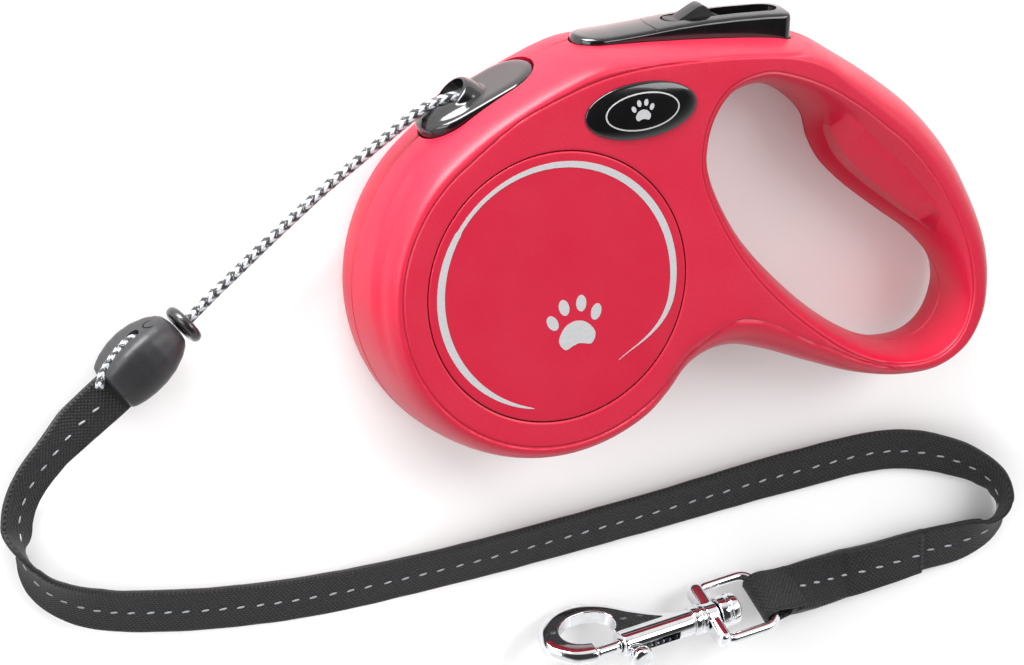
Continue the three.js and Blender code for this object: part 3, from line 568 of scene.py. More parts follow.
# ---------- strap ----------
STRAP_ROWS = [
    (-103.1, -26.4, 180, 6.9), (-109.1, -33.1, 178, 4.4), (-116.4, -41.4, 160, 1.6),
    (-122.3, -50.8, 156, 0.2),
    (-124.3, -59.6, 147, 0), (-122.2, -67.5, 93, 0), (-116.4, -74.4, 56, 0), (-104.6, -80.1, 29, 0),
    (-85.3, -82.4, 20.5, 0), (-50.4, -81.4, 20, 0), (-10.1, -75.4, 25, 0), (35.1, -66.4, 25, 0),
    (76.8, -57.5, 21, 0), (103, -53.5, 25, 0), (119.5, -56.5, 40, 0), (128.6, -61.6, 64, 0),
    (131.6, -67.4, 96, 0), (129.6, -73.2, 134, 0), (122.6, -77.3, 156, 0), (112.4, -79.4, 161, 0),
    (94.4, -83.8, 176, 0.6), (80.6, -85.4, 208, 2.2), (72.3, -85.9, 231, 3.9),
]
SEAM_ROW = 19


def strap_path():
    per = 40
    rows = np.array(STRAP_ROWS, float)
    plan = catmull(np.column_stack([rows[:, :2], np.zeros(len(rows))]), per)
    turn = catmull(np.column_stack([rows[:, 2:], np.zeros(len(rows))]), per)
    t = np.gradient(plan, axis=0)
    t /= np.linalg.norm(t, axis=1)[:, None]
    roll = np.radians(turn[:, 0])
    across = np.column_stack([-t[:, 1] * np.cos(roll), t[:, 0] * np.cos(roll), np.sin(roll)])
    across /= np.linalg.norm(across, axis=1)[:, None]
    seam = lengths(plan)[SEAM_ROW * per]
    doubled = smoothstep(lengths(plan), seam - 0.6, seam + 1.0)
    depth = STRAP_T * (1 + 0.9 * doubled)
    z = STRAP_W / 2 * np.abs(np.sin(roll)) + depth / 2 * np.abs(np.cos(roll)) + 0.12 + turn[:, 1]
    centre = np.column_stack([plan[:, 0], plan[:, 1], z])
    both = resample(np.column_stack([centre, across, depth]), 760)
    centre, across, depth = both[:, :3], both[:, 3:6], both[:, 6]
    across /= np.linalg.norm(across, axis=1)[:, None]
    t = np.gradient(centre, axis=0)
    t /= np.linalg.norm(t, axis=1)[:, None]
    across -= t * np.sum(across * t, axis=1)[:, None]
    across /= np.linalg.norm(across, axis=1)[:, None]
    return centre, across, np.cross(t, across), t, depth, seam


def webbing_section(depth):
    """Rounded edges and a slightly fuller selvage."""
    half = STRAP_W / 2
    across = np.concatenate([np.linspace(-half + 0.5, half - 0.5, 17)])
    top = [(a, depth / 2 * (0.93 + 0.07 * smoothstep(abs(a), half - 2.0, half - 1.0))) for a in across]
    end = [(half - 0.12, depth * 0.33), (half, 0.0), (half - 0.12, -depth * 0.33)]
    return top + end + [(a, -h) for a, h in reversed(top)] + [(-a, -h) for a, h in end]


def make_strap():
    centre, across, normal, t, depth, seam = strap_path()
    s = lengths(centre)
    vertices = []
    uv = []
    for i in range(len(centre)):
        section = webbing_section(depth[i])
        ripple = 0.05 * math.sin(s[i] / 3.1) + 0.04 * math.sin(s[i] / 1.37 + 1)
        for a, h in section:
            a2 = a * (1 + 0.006 * math.sin(s[i] / 1.9 + (a > 0)))
            vertices.append(centre[i] + across[i] * a2 + normal[i] * (h + ripple * 0.4))
            uv.append((a + STRAP_W, s[i]))
    m = len(section)
    n = len(centre)
    faces = grid_faces(n, m) + [tuple(range(m - 1, -1, -1)), tuple(range((n - 1) * m, n * m))]
    obj = to_object("strap_webbing", vertices, faces, WEBBING, "handle", 60,
                    ["strap", "strap_doubled"])
    layer = obj.data.uv_layers.new(name="weave")
    for loop in obj.data.loops:
        layer.data[loop.index].uv = uv[loop.vertex_index]
    return obj, centre, across, normal, t, depth, s, seam


strap, S_CENTRE, S_ACROSS, S_NORMAL, S_ALONG, S_DEPTH, S_LENGTH, S_SEAM = make_strap()


def make_tuck():
    """The strap's first millimetres, held in the end of the stop."""
    vertices = []
    for back in np.linspace(2.6, -0.4, 8):
        centre = S_CENTRE[0] - S_ALONG[0] * back
        vertices += [centre + S_ACROSS[0] * a * 0.995 + S_NORMAL[0] * h * 0.98
                     for a, h in webbing_section(STRAP_T)]
    m = len(vertices) // 8
    faces = grid_faces(8, m) + [tuple(range(m - 1, -1, -1)), tuple(range(7 * m, 8 * m))]
    return to_object("strap_tuck", vertices, faces, WEBBING, "handle", 60)


tuck = make_tuck()


def thread_dash(at, along, side, out, length, width, height):
    """A low pillow of thread: 6 points round, 5 along."""
    vertices = []
    for k in (-1.0, -0.8, 0.0, 0.8, 1.0):
        r = math.sqrt(max(0.0, 1 - abs(k) ** 3)) + 0.05
        for a in np.linspace(0, 2 * np.pi, 6, endpoint=False):
            vertices.append(at + along * (k * length / 2) + side * (math.cos(a) * r * width / 2)
                            + out * (math.sin(a) * r * height))
    return vertices, grid_faces(5, 6) + [(5, 4, 3, 2, 1, 0), tuple(range(24, 30))]


def make_stitches():
    vertices, faces = [], []

    def add(v, f):
        first = len(vertices)
        vertices.extend(v)
        faces.extend([[i + first for i in q] for q in f])

    for at in np.arange(3.0, S_LENGTH[-1] - 2.0, 4.7):
        for way in (1, -1):
            i = int(np.searchsorted(S_LENGTH, at + (0 if way > 0 else 2.35)))
            i = min(i, len(S_CENTRE) - 1)
            out = S_NORMAL[i] * way
            lean = math.radians(9)
            along = S_ALONG[i] * math.cos(lean) + S_ACROSS[i] * math.sin(lean)
            side = np.cross(along, out)
            add(*thread_dash(S_CENTRE[i] + out * (S_DEPTH[i] / 2 * 0.93 + 0.02), along, side, out, 2.0,
                             0.62, 0.2))
    obj = to_object("strap_stitches", vertices, faces, THREAD, "handle", 180)
    vertices, faces = [], []
    for at in (S_SEAM + 1.2, S_SEAM + 2.6, S_LENGTH[-1] - 3.2, S_LENGTH[-1] - 1.6):
        i = int(np.searchsorted(S_LENGTH, at))
        for a in np.arange(-4.6, 4.7, 1.15):
            for way in (1, -1):
                out = S_NORMAL[i] * way
                add(*thread_dash(S_CENTRE[i] + S_ACROSS[i] * a + out * (S_DEPTH[i] / 2 * 0.93 + 0.03),
                                 S_ACROSS[i],
                                 S_ALONG[i], out, 0.95, 0.34, 0.16))
    seam = to_object("strap_seam", vertices, faces, SEAM, "handle", 180)
    return obj, seam


stitches, seam_thread = make_stitches()

# ---------- snap ----------
SNAP_BASE = Vector((53.3, -89.8, 11.7))
SNAP_TURN = (Matrix.Rotation(math.radians(12), 3, "Z") @ Matrix.Rotation(math.radians(6), 3, "Y")
             @ Matrix.Rotation(math.radians(118), 3, "X"))
SNAP_MATRIX = np.array(SNAP_TURN)
EYE_TURN = np.array(Matrix.Rotation(math.radians(10), 3, "X"))


def at_snap(v):
    return np.array(v, float) @ SNAP_MATRIX.T + np.array(SNAP_BASE)


def at_eye(v):
    """The eye hangs turned ten degrees from the hook."""
    return at_snap(np.array(v, float) @ EYE_TURN.T)


def voxel_melt(obj, size, rounds, factor=0.5):
    """Joins the overlapping closed solids in one mesh and softens their corners, as a casting's are."""
    m = obj.modifiers.new("voxel", "REMESH")
    m.mode = "VOXEL"
    m.voxel_size = size * 0.001
    m.use_smooth_shade = True
    soft = obj.modifiers.new("soft", "SMOOTH")
    soft.factor = factor
    soft.iterations = rounds
    return applied(obj)


def merged(name, solids):
    """One mesh of several closed solids, given as (vertices, faces)."""
    vertices, faces = [], []
    for v, f in solids:
        first = len(vertices)
        vertices.extend(np.array(v).tolist())
        faces.extend([[i + first for i in q] for q in f])
    return raw_object(name, vertices, faces)


def rounded_plate(loop, thickness, bevel):
    """A flat casting with rounded edges: the outline is drawn in a little at each face."""
    p = np.array(loop, float)
    t = np.roll(p, -1, 0) - np.roll(p, 1, 0)
    t /= np.linalg.norm(t, axis=1)[:, None]
    inward = np.column_stack([-t[:, 1], t[:, 0]])
    area = np.sum(p[:, 0] * np.roll(p[:, 1], -1) - np.roll(p[:, 0], -1) * p[:, 1])
    inward *= 1 if area > 0 else -1
    levels = (-90, -60, -30, 0, 30, 60, 90)
    vertices = []
    for angle in levels:
        a = math.radians(angle)
        z = math.sin(a) * bevel + math.copysign(thickness / 2 - bevel, a) * (angle != 0)
        q = p + inward * bevel * (1 - math.cos(a))
        vertices += [[x, y, z] for x, y in q]
    n = len(p)
    faces = grid_faces(len(levels), n) + [tuple(range(n - 1, -1, -1)), tuple(range(6 * n, 7 * n))]
    return np.array(vertices), faces


def make_hook():
    outline = resample(catmull([(x, y, 0) for x, y in (
        (-24.4, 2.4), (-31, 2.3), (-38, 0.4), (-42.3, -4.8), (-41.3, -10.8), (-36, -15.1), (-29, -15.9),
        (-22.6, -13.3), (-16.8, -8.6), (-10.8, -4.7), (-6, -3.1), (-6, 2.2), (-14, 2.5))], 16, True), 180,
        True)
    plate = raw_object("snap_hook_casting", *rounded_plate(outline[:, :2], 4.1, 1.9))
    eye = [(-30.1 + 7.3 * math.cos(a), -6.8 + 4.8 * math.sin(a))
           for a in np.linspace(0, 2 * np.pi, 72, endpoint=False)]
    gap = [(-31.6, -3.6), (-24.4, -3.6), (-24.4, 4.5), (-31.6, 4.5)]
    boolean(plate, [raw_object("t", *prism(eye, -6, 6)), raw_object("t", *prism(gap, -6, 6))])
    barrel = rounded([[-24.6, 0], [-24.6, 3.15], [-4.9, 3.1], [-4.9, 0]], 0.4)
    boolean(plate, [raw_object("t", *lathe(barrel, 56))], "UNION")
    bore = lathe([[-27, 0], [-27, 1.75], [-7.4, 1.75], [-7.4, 0]], 40)
    slot = prism([(-23.0, 0), (-9.6, 0), (-9.6, 5), (-23.0, 5)], -1.25, 1.25)
    voxel_melt(plate, 0.2, 18)
    boolean(plate, [raw_object("t", *bore), raw_object("t", *slot)])
    place(plate, at_snap)
    finish_piece(plate, CHROME, "snap_hook", 42, ["snap_hook"])
    collar = rounded([[-5.1, 0], [-5.1, 3.55], [-3.6, 3.62], [-3.45, 3.35], [-3.2, 3.35], [-3.05, 3.7],
                      [-2.0, 3.7],
                      [-2.0, 0]], 0.22)
    rivet = rounded([[2.05, 0], [2.05, 3.85], [4.1, 4.1], [4.4, 3.55], [4.9, 3.55], [5.2, 4.0], [7.0, 3.85],
                     [7.6, 3.0], [7.75, 0]], 0.3)
    pin = [[-2.3, 0], [-2.3, 1.45], [2.3, 1.45], [2.3, 0]]
    for name, profile in (("snap_collar", collar), ("snap_rivet", rivet), ("snap_pin", pin)):
        v, f = lathe(profile, 64)
        to_object(name, at_snap(v), f, CHROME, "snap_hook", 40)


def place(obj, where):
    """Moves an object's vertices, in millimetres, through `where`."""
    co = np.zeros(len(obj.data.vertices) * 3, np.float32)
    obj.data.vertices.foreach_get("co", co)
    moved = where(co.reshape(-1, 3) * 1000.0) * 0.001
    obj.data.vertices.foreach_set("co", moved.reshape(-1).astype(np.float32))
    obj.data.update()


def make_bolt():
    rod = rounded([[-31.3, 0], [-31.3, 1.2], [-30.9, 1.45], [-25.4, 1.45], [-25.2, 1.62], [-24.9, 1.62],
                   [-24.7, 1.45],
                   [-19.6, 1.45], [-19.6, 0]], 0.2)
    stem = prism([(-23.1, 0.2), (-20.7, 0.2), (-20.9, 4.6), (-22.9, 4.6)], -0.95, 0.95)
    knob = lathe(rounded([[3.9, 0], [3.9, 2.0], [4.6, 2.9], [6.2, 3.0], [7.0, 2.2], [7.2, 0]], 0.6, 4), 48,
                 "y")
    knob = (knob[0] + [-21.9, 0, 0], knob[1])
    bolt = merged("snap_bolt_casting", [lathe(rod, 40), stem, knob])
    voxel_melt(bolt, 0.14, 5)
    place(bolt, at_snap)
    finish_piece(bolt, CHROME, "snap_bolt", 60, ["snap_bolt"])


def rounded_rectangle(x0, x1, y0, y1, r, steps=8):
    out = []
    for cx, cy, start in ((x1 - r, y0 + r, -90), (x1 - r, y1 - r, 0), (x0 + r, y1 - r, 90),
                          (x0 + r, y0 + r, 180)):
        for k in range(steps + 1):
            a = math.radians(start + 90 * k / steps)
            out.append((cx + r * math.cos(a), cy + r * math.sin(a)))
    return out


def make_eye():
    path = rounded_rectangle(-0.4, 15.5, -8.0, 8.0, 3.6)
    path = resample(np.array([(x, y, 0) for x, y in path], float), 120, True)
    frame_tube = sweep(path, circle(1.3, 20), closed=True)
    base = rounded_plate(rounded_rectangle(-1.6, 1.8, -8.9, 8.9, 1.5, 5), 4.8, 1.2)
    boss = lathe(rounded([[-1.6, 0], [-1.6, 3.2], [1.75, 3.2], [1.75, 0]], 0.3), 40)
    eye = merged("snap_eye_casting", [frame_tube, base, boss])
    voxel_melt(eye, 0.2, 7)
    boolean(eye, [raw_object("t", *lathe([[-4, 0], [-4, 1.7], [4, 1.7], [4, 0]], 32))])
    place(eye, at_eye)
    finish_piece(eye, CHROME, "handle", 42, ["snap_eye"])


def make_end_loop():
    bar = 15.5
    centre = [(bar + 8.4, 0.95), (bar + 6.0, 1.15), (bar + 3.4, 1.7), (bar + 1.2, 2.3), (bar - 0.6, 2.3),
              (bar - 1.9, 1.4),
              (bar - 2.35, 0), (bar - 1.9, -1.4), (bar - 0.6, -2.3), (bar + 1.2, -2.3), (bar + 3.4, -1.7),
              (bar + 6.0, -1.15), (bar + 8.4, -0.95)]
    line = resample(catmull([(x, 0, z) for x, z in centre]), 90)
    t = np.gradient(line, axis=0)
    t /= np.linalg.norm(t, axis=1)[:, None]
    vertices, uv = [], []
    s = lengths(line)
    for i, p in enumerate(line):
        normal = np.array([-t[i][2], 0, t[i][0]])
        for a, h in webbing_section(1.35):
            vertices.append(p + np.array([0, a * 0.985, 0]) + normal * h)
            uv.append((a + STRAP_W, s[i]))
    m = len(webbing_section(1.35))
    faces = grid_faces(len(line), m) + [tuple(range(m - 1, -1, -1)), tuple(range(89 * m, 90 * m))]
    obj = to_object("strap_end_fold", at_eye(vertices), faces, WEBBING, "handle", 60,
                    ["strap_end_loop"])
    layer = obj.data.uv_layers.new(name="weave")
    for loop in obj.data.loops:
        layer.data[loop.index].uv = uv[loop.vertex_index]


make_hook()
make_bolt()
make_eye()
make_end_loop()

# ---------- casing ----------
RIM = [
    [DRUM_CASE_R * math.cos(a), DRUM_CASE_R * math.sin(a), DRUM_BULGE]
    for a in np.radians(128 + 15 * np.arange(13))
] + [
    [33.6, -29.9, 6], [39.5, -24, 9], [45, -21.2, 9.5], [51, -20.6, 9.5], [60, -22.3, 8],
    [72, -26, 6.2], [84, -29.2, 5], [95, -30.2, 4.2], [104, -28.4, 3.1], [111.5, -23, 2.7],
    [116, -14.5, 3.2], [117.2, -5, 4.4], [115.8, 4, 5], [111.5, 14.5, 5.8], [105, 25.6, 6.4],
    [96, 35.5, 6.4], [86, 43, 6], [77, 48.6, 5], [69, 53, 4], [60, 55.2, 3.2],
    [48, 56, 3], [34, 56.2, 3.2], [20, 56.1, 3.8], [8, 55.3, 4.4], [-3, 51, 4.6], [-17, 43.2, 4.6],
]
HOLE = [
    [40.4, 30, 36, 29], [42.6, 37.3, 37.2, 38.5], [47.2, 41.7, 42, 46.3], [53, 43.1, 51.5, 49.7],
    [59, 42, 60.5, 48], [65, 38.6, 69, 44.6], [69.4, 34, 75.5, 40.8], [71.2, 28.6, 80, 37.8],
    [74.5, 22.8, 85, 34], [81, 16.5, 91, 29.3], [90, 9.9, 99, 20.5], [99.5, 3.2, 106, 9.5],
    [105.8, -3.6, 109.6, 0.5], [109, -11.5, 111, -10.5], [107.2, -18.3, 108.5, -19.1],
    [103, -22.2, 103.7, -23.7], [96.5, -23.6, 96, -25.4], [89.5, -22.3, 88, -24.8],
    [81.5, -18.7, 79.5, -21.8], [72.5, -12.8, 69.8, -16], [64.3, -6, 60.8, -9.2],
    [56.5, 1.5, 52.4, -1.2], [50, 9, 46, 6.6], [44.8, 17.3, 40.2, 16], [41.6, 24.5, 37, 23.2],
]
DISC_R = 33.4
GROOVE_W = 0.5
GROOVE_D = 0.42


def taper(x):
    return 1 - 0.22 * smoothstep(x, 42, 106)


def even_line(points, closed=False):
    """A smooth flat line through the points, with a point every 0.15 mm."""
    line = catmull([(x, y, 0) for x, y in points], 14, closed)
    return resample(line, int(lengths(line)[-1] / 0.15), closed)[:, :2]


def outer_groove():
    """The line that bounds the flat face: along the lower neck, round the drum and over the top."""
    arc = [(39.5 * math.cos(a), 39.5 * math.sin(a)) for a in np.radians(np.arange(-48, -236, -8))]
    lower = [(92, -26.6), (84, -24.4), (70, -18.6), (56.5, -12.6), (48.4, -11.0), (38, -17.0), (31.5, -23.9)]
    upper = [(-12.6, 40.6), (-2, 46), (8, 49.9), (18, 52.1), (31, 53.3), (44.5, 53.8), (58, 53.3),
             (63.4, 53.2),
             (66.4, 54.2), (67.4, 56.2)]
    return even_line(lower + arc + upper)


def hole_groove():
    return even_line([(fx, fy) for _, _, fx, fy in HOLE], True)


def near(points, lines):
    """Distance from each 2-D point to the nearest of the polylines' points."""
    path = np.vstack(lines)
    out = np.empty(len(points))
    for i in range(0, len(points), 1000):
        part = points[i:i + 1000]
        out[i:i + 1000] = np.sqrt(((part[:, None, :] - path[None, :, :]) ** 2).sum(2).min(1))
    return out


def inside(points, loop):
    x, y = points[:, 0:1], points[:, 1:2]
    a, b = loop, np.roll(loop, -1, 0)
    crosses = (a[:, 1] > y) != (b[:, 1] > y)
    at = (b[:, 0] - a[:, 0]) * (y - a[:, 1]) / (b[:, 1] - a[:, 1] + 1e-12) + a[:, 0]
    return (crosses & (x < at)).sum(1) % 2 == 1


def outlines():
    rim = resample(catmull(RIM, 24, True), 440, True)
    t = np.roll(rim[:, :2], -1, 0) - np.roll(rim[:, :2], 1, 0)
    t /= np.linalg.norm(t, axis=1)[:, None]
    rim_in = np.column_stack([-t[:, 1], t[:, 0]])
    edge = catmull([(x, y, 0) for x, y, _, _ in HOLE], 24, True)
    crown = catmull([(x, y, 0) for _, _, x, y in HOLE], 24, True)
    both = resample(np.column_stack([edge, crown]), 300, True)
    toward = both[:, 3:5] - both[:, :2]
    bulge = np.linalg.norm(toward, axis=1)
    return rim[:, :2], rim_in, rim[:, 2], both[:, :2], toward / bulge[:, None], bulge


RIM_XY, RIM_IN, RIM_B, HOLE_XY, HOLE_IN, HOLE_B = outlines()
OUTER_LINE = outer_groove()
HOLE_LINE = hole_groove()
SKIN = np.radians([0, 4, 9, 15, 21, 27, 33, 39, 45, 51, 56, 60.5, 64.5, 68, 71, 74, 77, 80, 83, 86.5, 90])


def crease(angle, theta):
    """A moulded step on the drum's left shoulder, deepest below the outlet and fading towards the bottom."""
    strength = smoothstep(angle, 133, 146) * (1 - smoothstep(angle, 182, 214))
    start = np.interp(angle, [130, 150, 175, 215], [24, 33, 40, 44])
    d = theta - start
    fall = np.where(d < 0, smoothstep(d, -5, 0), np.exp(-np.maximum(d, 0) / 22))
    return 0.95 * strength * fall


def shell(side):
    """Half of the casing: a rounded skin with its grooves, hollow inside, open at the parting line."""
    height = THICK - PART_Z if side > 0 else PART_Z
    vertices, faces, lift = [], [], []
    face_z = PART_Z + side * height

    def flip(f):
        return f if side > 0 else tuple(reversed(f))

    def add_loop(xy, z, spare=None):
        first = len(vertices)
        vertices.extend(np.column_stack([xy, z]).tolist())
        lift.extend([0.0] * len(xy) if spare is None else spare.tolist())
        return list(range(first, first + len(xy)))

    def wall(a, b):
        for i in range(len(a)):
            j = (i + 1) % len(a)
            faces.append(flip((a[i], a[j], b[j], b[i])))

    def skin_loops(xy, inward, bulge, power, rim):
        loops = [add_loop(xy + inward * 0.3, np.full(len(xy), PART_Z + side * 0.1))]
        for k, theta in enumerate(SKIN):
            c, s = math.cos(theta), math.sin(theta)
            draw = bulge * (1 - c ** (2 / power))
            p = xy + inward * draw[:, None]
            z = PART_Z + side * (height * s ** (2 / power)) * taper(p[:, 0])
            z = np.maximum(z * side, (PART_Z + side * (0.35 + 0.02 * k)) * side) * side
            spare = None
            if rim and side > 0:
                angle = np.degrees(np.arctan2(xy[:, 1], xy[:, 0])) % 360
                spare = crease(angle, math.degrees(theta)) * (xy[:, 0] < 0)
            loops.append(add_loop(p, z, spare))
        for a, b in zip(loops, loops[1:]):
            wall(a, b)
        return loops

    power_hole = np.interp(HOLE_B, [3, 7, 12], [2.0, 1.55, 1.25])
    rims = skin_loops(RIM_XY, RIM_IN, RIM_B, np.full(len(RIM_B), 2.15), True)
    holes = skin_loops(HOLE_XY, HOLE_IN, HOLE_B, power_hole, False)
    angles = np.linspace(0, 2 * np.pi, 200, endpoint=False)
    disc = np.column_stack([DISC_R * np.cos(angles), DISC_R * np.sin(angles)])
    pocket = add_loop(disc, np.full(200, face_z))

    # the flat face: boundary loops, rows along the grooves, rings round the disc, and a loose grid
    arr = np.array(vertices)
    loops = [rims[-1], holes[-1], pocket]
    fixed = np.vstack([arr[loop][:, :2] for loop in loops])
    rows = []
    for line, closed in ((OUTER_LINE, False), (HOLE_LINE, True)):
        even = resample(np.column_stack([line, np.zeros(len(line))]), int(lengths(line)[-1] / 0.8),
                        closed)[:, :2]
        t = np.gradient(even, axis=0)
        t /= np.linalg.norm(t, axis=1)[:, None]
        for offset in (-0.55, -0.36, -0.18, 0, 0.18, 0.36, 0.55):
            rows.append(even + np.column_stack([-t[:, 1], t[:, 0]]) * offset)
    for r in (0.12, 0.28, 0.5, 0.8):
        rows.append(disc * (DISC_R + r) / DISC_R)
    rows = np.vstack(rows)
    gx, gy = np.meshgrid(np.arange(-46, 118, 2.6), np.arange(-44, 58, 2.6))
    loose = np.column_stack([gx.ravel() + (gy.ravel() / 2.6 % 2) * 1.3, gy.ravel()])
    loose = loose[near(loose, [rows]) > 1.1]
    extra = np.vstack([rows, loose])
    extra = extra[near(extra, [fixed]) > 0.13]
    rim_loop, hole_loop = arr[rims[-1]][:, :2], arr[holes[-1]][:, :2]
    extra = extra[inside(extra, rim_loop) & ~inside(extra, hole_loop) & ~inside(extra, disc)]
    keep = np.unique(np.round(extra / 0.07), axis=0, return_index=True)[1]
    extra = extra[np.sort(keep)]
    first = len(vertices)
    z = PART_Z + side * height * taper(extra[:, 0])
    vertices.extend(np.column_stack([extra, z]).tolist())
    lift.extend([0.0] * len(extra))
    flat = np.vstack([fixed, extra])
    index = [i for loop in loops for i in loop] + list(range(first, first + len(extra)))
    edges, start = [], 0
    for loop in loops:
        n = len(loop)
        edges += [(start + i, start + (i + 1) % n) for i in range(n)]
        start += n
    out, _, tris, origin, _, _ = delaunay_2d_cdt([Vector(p) for p in flat.tolist()], edges, [], 0, 1e-6)
    back_to = [index[o[0]] if o else None for o in origin]
    tri = np.array([t for t in tris if len(t) == 3])
    pts = np.array([(v.x, v.y) for v in out])
    middle = pts[tri].mean(1)
    good = inside(middle, rim_loop) & ~inside(middle, hole_loop) & ~inside(middle, disc)
    for t in tri[good]:
        f = tuple(back_to[i] for i in t)
        if None not in f:
            faces.append(flip(f))

    # depth of the grooves, along the skin's own normal
    arr = np.array(vertices)
    skin_count = len(arr)
    d_line = near(arr[:, :2], [OUTER_LINE, HOLE_LINE])
    depth = GROOVE_D * (0.5 + 0.5 * np.cos(np.pi * np.clip(d_line / GROOVE_W, 0, 1)))
    upper = (arr[:, 2] - PART_Z) * side > height * 0.5
    depth = depth * upper
    r = np.hypot(arr[:, 0], arr[:, 1])
    edge = np.clip(1 - (r - DISC_R) / 0.45, 0, 1)
    depth = np.maximum(depth, 0.24 * edge ** 2 * (r > DISC_R - 0.01) * (r < DISC_R + 0.6) * upper)
    depth = depth + np.array(lift)
    temp = bpy.data.meshes.new("temp")
    temp.from_pydata(arr.tolist(), [], faces)
    normals = np.zeros(skin_count * 3, np.float32)
    temp.vertices.foreach_get("normal", normals)
    bpy.data.meshes.remove(temp)
    normals = normals.reshape(-1, 3)
    normals[pocket] = (0, 0, side)
    arr = arr - normals * depth[:, None]
    vertices[:] = arr.tolist()

    # the label's pocket and the inside
    floor = add_loop(disc, np.full(200, face_z - side * 1.4))
    wall(pocket, floor)
    faces.append(flip(tuple(floor)))
    wall_t = 1.6

    def cavity(xy, inward, bulge, seam):
        slope = bulge * np.minimum(0.55, 0.2 + 0.04 * bulge)
        loops = [seam]
        for theta in np.radians([0, 45, 90]):
            p = xy + inward * (wall_t + slope * (1 - math.cos(theta)))[:, None]
            z = PART_Z + side * ((height - 2.8) * math.sin(theta)) * taper(p[:, 0])
            loops.append(add_loop(p, z + side * 0.1 * (theta == 0)))
        for a, b in zip(loops, loops[1:]):
            for i in range(len(a)):
                j = (i + 1) % len(a)
                faces.append(flip((a[j], a[i], b[i], b[j])))
        return loops[-1]

    top_rim = cavity(RIM_XY, RIM_IN, RIM_B, rims[0])
    top_hole = cavity(HOLE_XY, HOLE_IN, HOLE_B, holes[0])
    arr = np.array(vertices)
    loops = [top_rim, top_hole]
    flat = np.vstack([arr[loop][:, :2] for loop in loops])
    index = top_rim + top_hole
    edges = [(i, (i + 1) % 440) for i in range(440)] + [(440 + i, 440 + (i + 1) % 300) for i in range(300)]
    out, _, tris, origin, _, _ = delaunay_2d_cdt([Vector(p) for p in flat.tolist()], edges, [], 0, 1e-6)
    back_to = [index[o[0]] if o else None for o in origin]
    tri = np.array([t for t in tris if len(t) == 3])
    pts = np.array([(v.x, v.y) for v in out])
    middle = pts[tri].mean(1)
    good = inside(middle, flat[:440]) & ~inside(middle, flat[440:])
    for t in tri[good]:
        f = tuple(back_to[i] for i in t)
        if None not in f:
            faces.append(flip(tuple(reversed(f))))
    return vertices, faces


def outlet_place(v):
    """(along the rim, z, out) to the row frame, at the cord outlet."""
    a = math.atan2(14.6, 28.3)
    along = np.array([math.cos(a), math.sin(a), 0])
    out = np.array([-along[1], along[0], 0])
    v = np.array(v, float)
    return np.array([-16.25, 43.1, 13.0]) + v[:, :1] * along + v[:, 1:2] * np.array([0, 0,
                                                                                     -1.0]) + v[:, 2:3] * out


def stadium(length, width, grow=0.0, steps=20):
    r = width / 2 + grow
    half = (length - width) / 2
    right = [(half + r * math.cos(a), r * math.sin(a)) for a in np.linspace(-np.pi / 2, np.pi / 2, steps)]
    left = [(-half + r * math.cos(a), r * math.sin(a)) for a in np.linspace(np.pi / 2, 3 * np.pi / 2, steps)]
    return right + left


SCREWS = [(5.5, 48.6), (71.5, 44.4), (96.5, 21.5), (47.5, -11.5)]


def button_outline(grow=0.0):
    """The button seen from above: rounded at its pivot end, square with soft corners at the other."""
    out = []
    for cx, cz, r, start in ((60.4, 10.0, 2.0, -90), (60.4, 18.0, 2.0, 0), (13.6, 14.0, 6.0, 90)):
        span = 180 if r > 3 else 90
        for k in range(span // 9 + 1):
            a = math.radians(start + 9 * k)
            out.append((cx + (r + grow) * math.cos(a), cz + (r + grow) * math.sin(a)))
    return out


def casing_tools():
    seat, f = prism(stadium(31.8, 17.6, 0.3), -9, 7)
    slot, g = prism(button_outline(0.35), 50.2, 66)
    slot = np.column_stack([slot[:, 0], slot[:, 2], slot[:, 1]])
    return [raw_object("t", outlet_place(seat), f), raw_object("t", slot, g)]


def make_casing():
    for side, name, old in ((1, "casing_front_skin", "casing_front"),
                            (-1, "casing_back_skin", "casing_back")):
        vertices, faces = shell(side)
        obj = raw_object(name, vertices, faces)
        boolean(obj, casing_tools())
        if side < 0:
            tools = []
            for x, y in SCREWS:
                z = PART_Z - PART_Z * float(taper(x))
                v, f = lathe([[z - 2, 0], [z - 2, 3.3], [z + 1.1, 3.05], [z + 1.1, 0]], 36, "z")
                tools.append(raw_object("t", v + [x, y, 0], f))
            boolean(obj, tools)
        finish_piece(obj, RED, "handle", 38, [old])
        m = obj.modifiers.new("weighted", "WEIGHTED_NORMAL")
        m.keep_sharp = True
        m.weight = 80


make_casing()


# ---------- labels, badge ----------
def disc_piece(name, side, material, replaces):
    """A flush round label with a softened edge."""
    rings = [(33.1, 1.2), (33.1, 0.32), (33.04, 0.16), (32.93, 0.06), (32.75, 0.015), (32.5, 0.0), (30, 0),
             (24, 0), (16, 0),
             (8, 0)]
    face_z = THICK if side > 0 else 0.0
    vertices, n = [], 160
    for r, drop in rings:
        for a in np.linspace(0, 2 * np.pi, n, endpoint=False):
            vertices.append([r * math.cos(a), r * math.sin(a), face_z - side * drop])
    vertices.append([0, 0, face_z])
    faces = grid_faces(len(rings), n)
    last = (len(rings) - 1) * n
    faces += [(last + k, last + (k + 1) % n, len(vertices) - 1) for k in range(n)]
    faces.append(tuple(range(n - 1, -1, -1)))
    if side < 0:
        faces = [tuple(reversed(f)) for f in faces]
    return to_object(name, vertices, faces, material, "handle", 50, replaces)


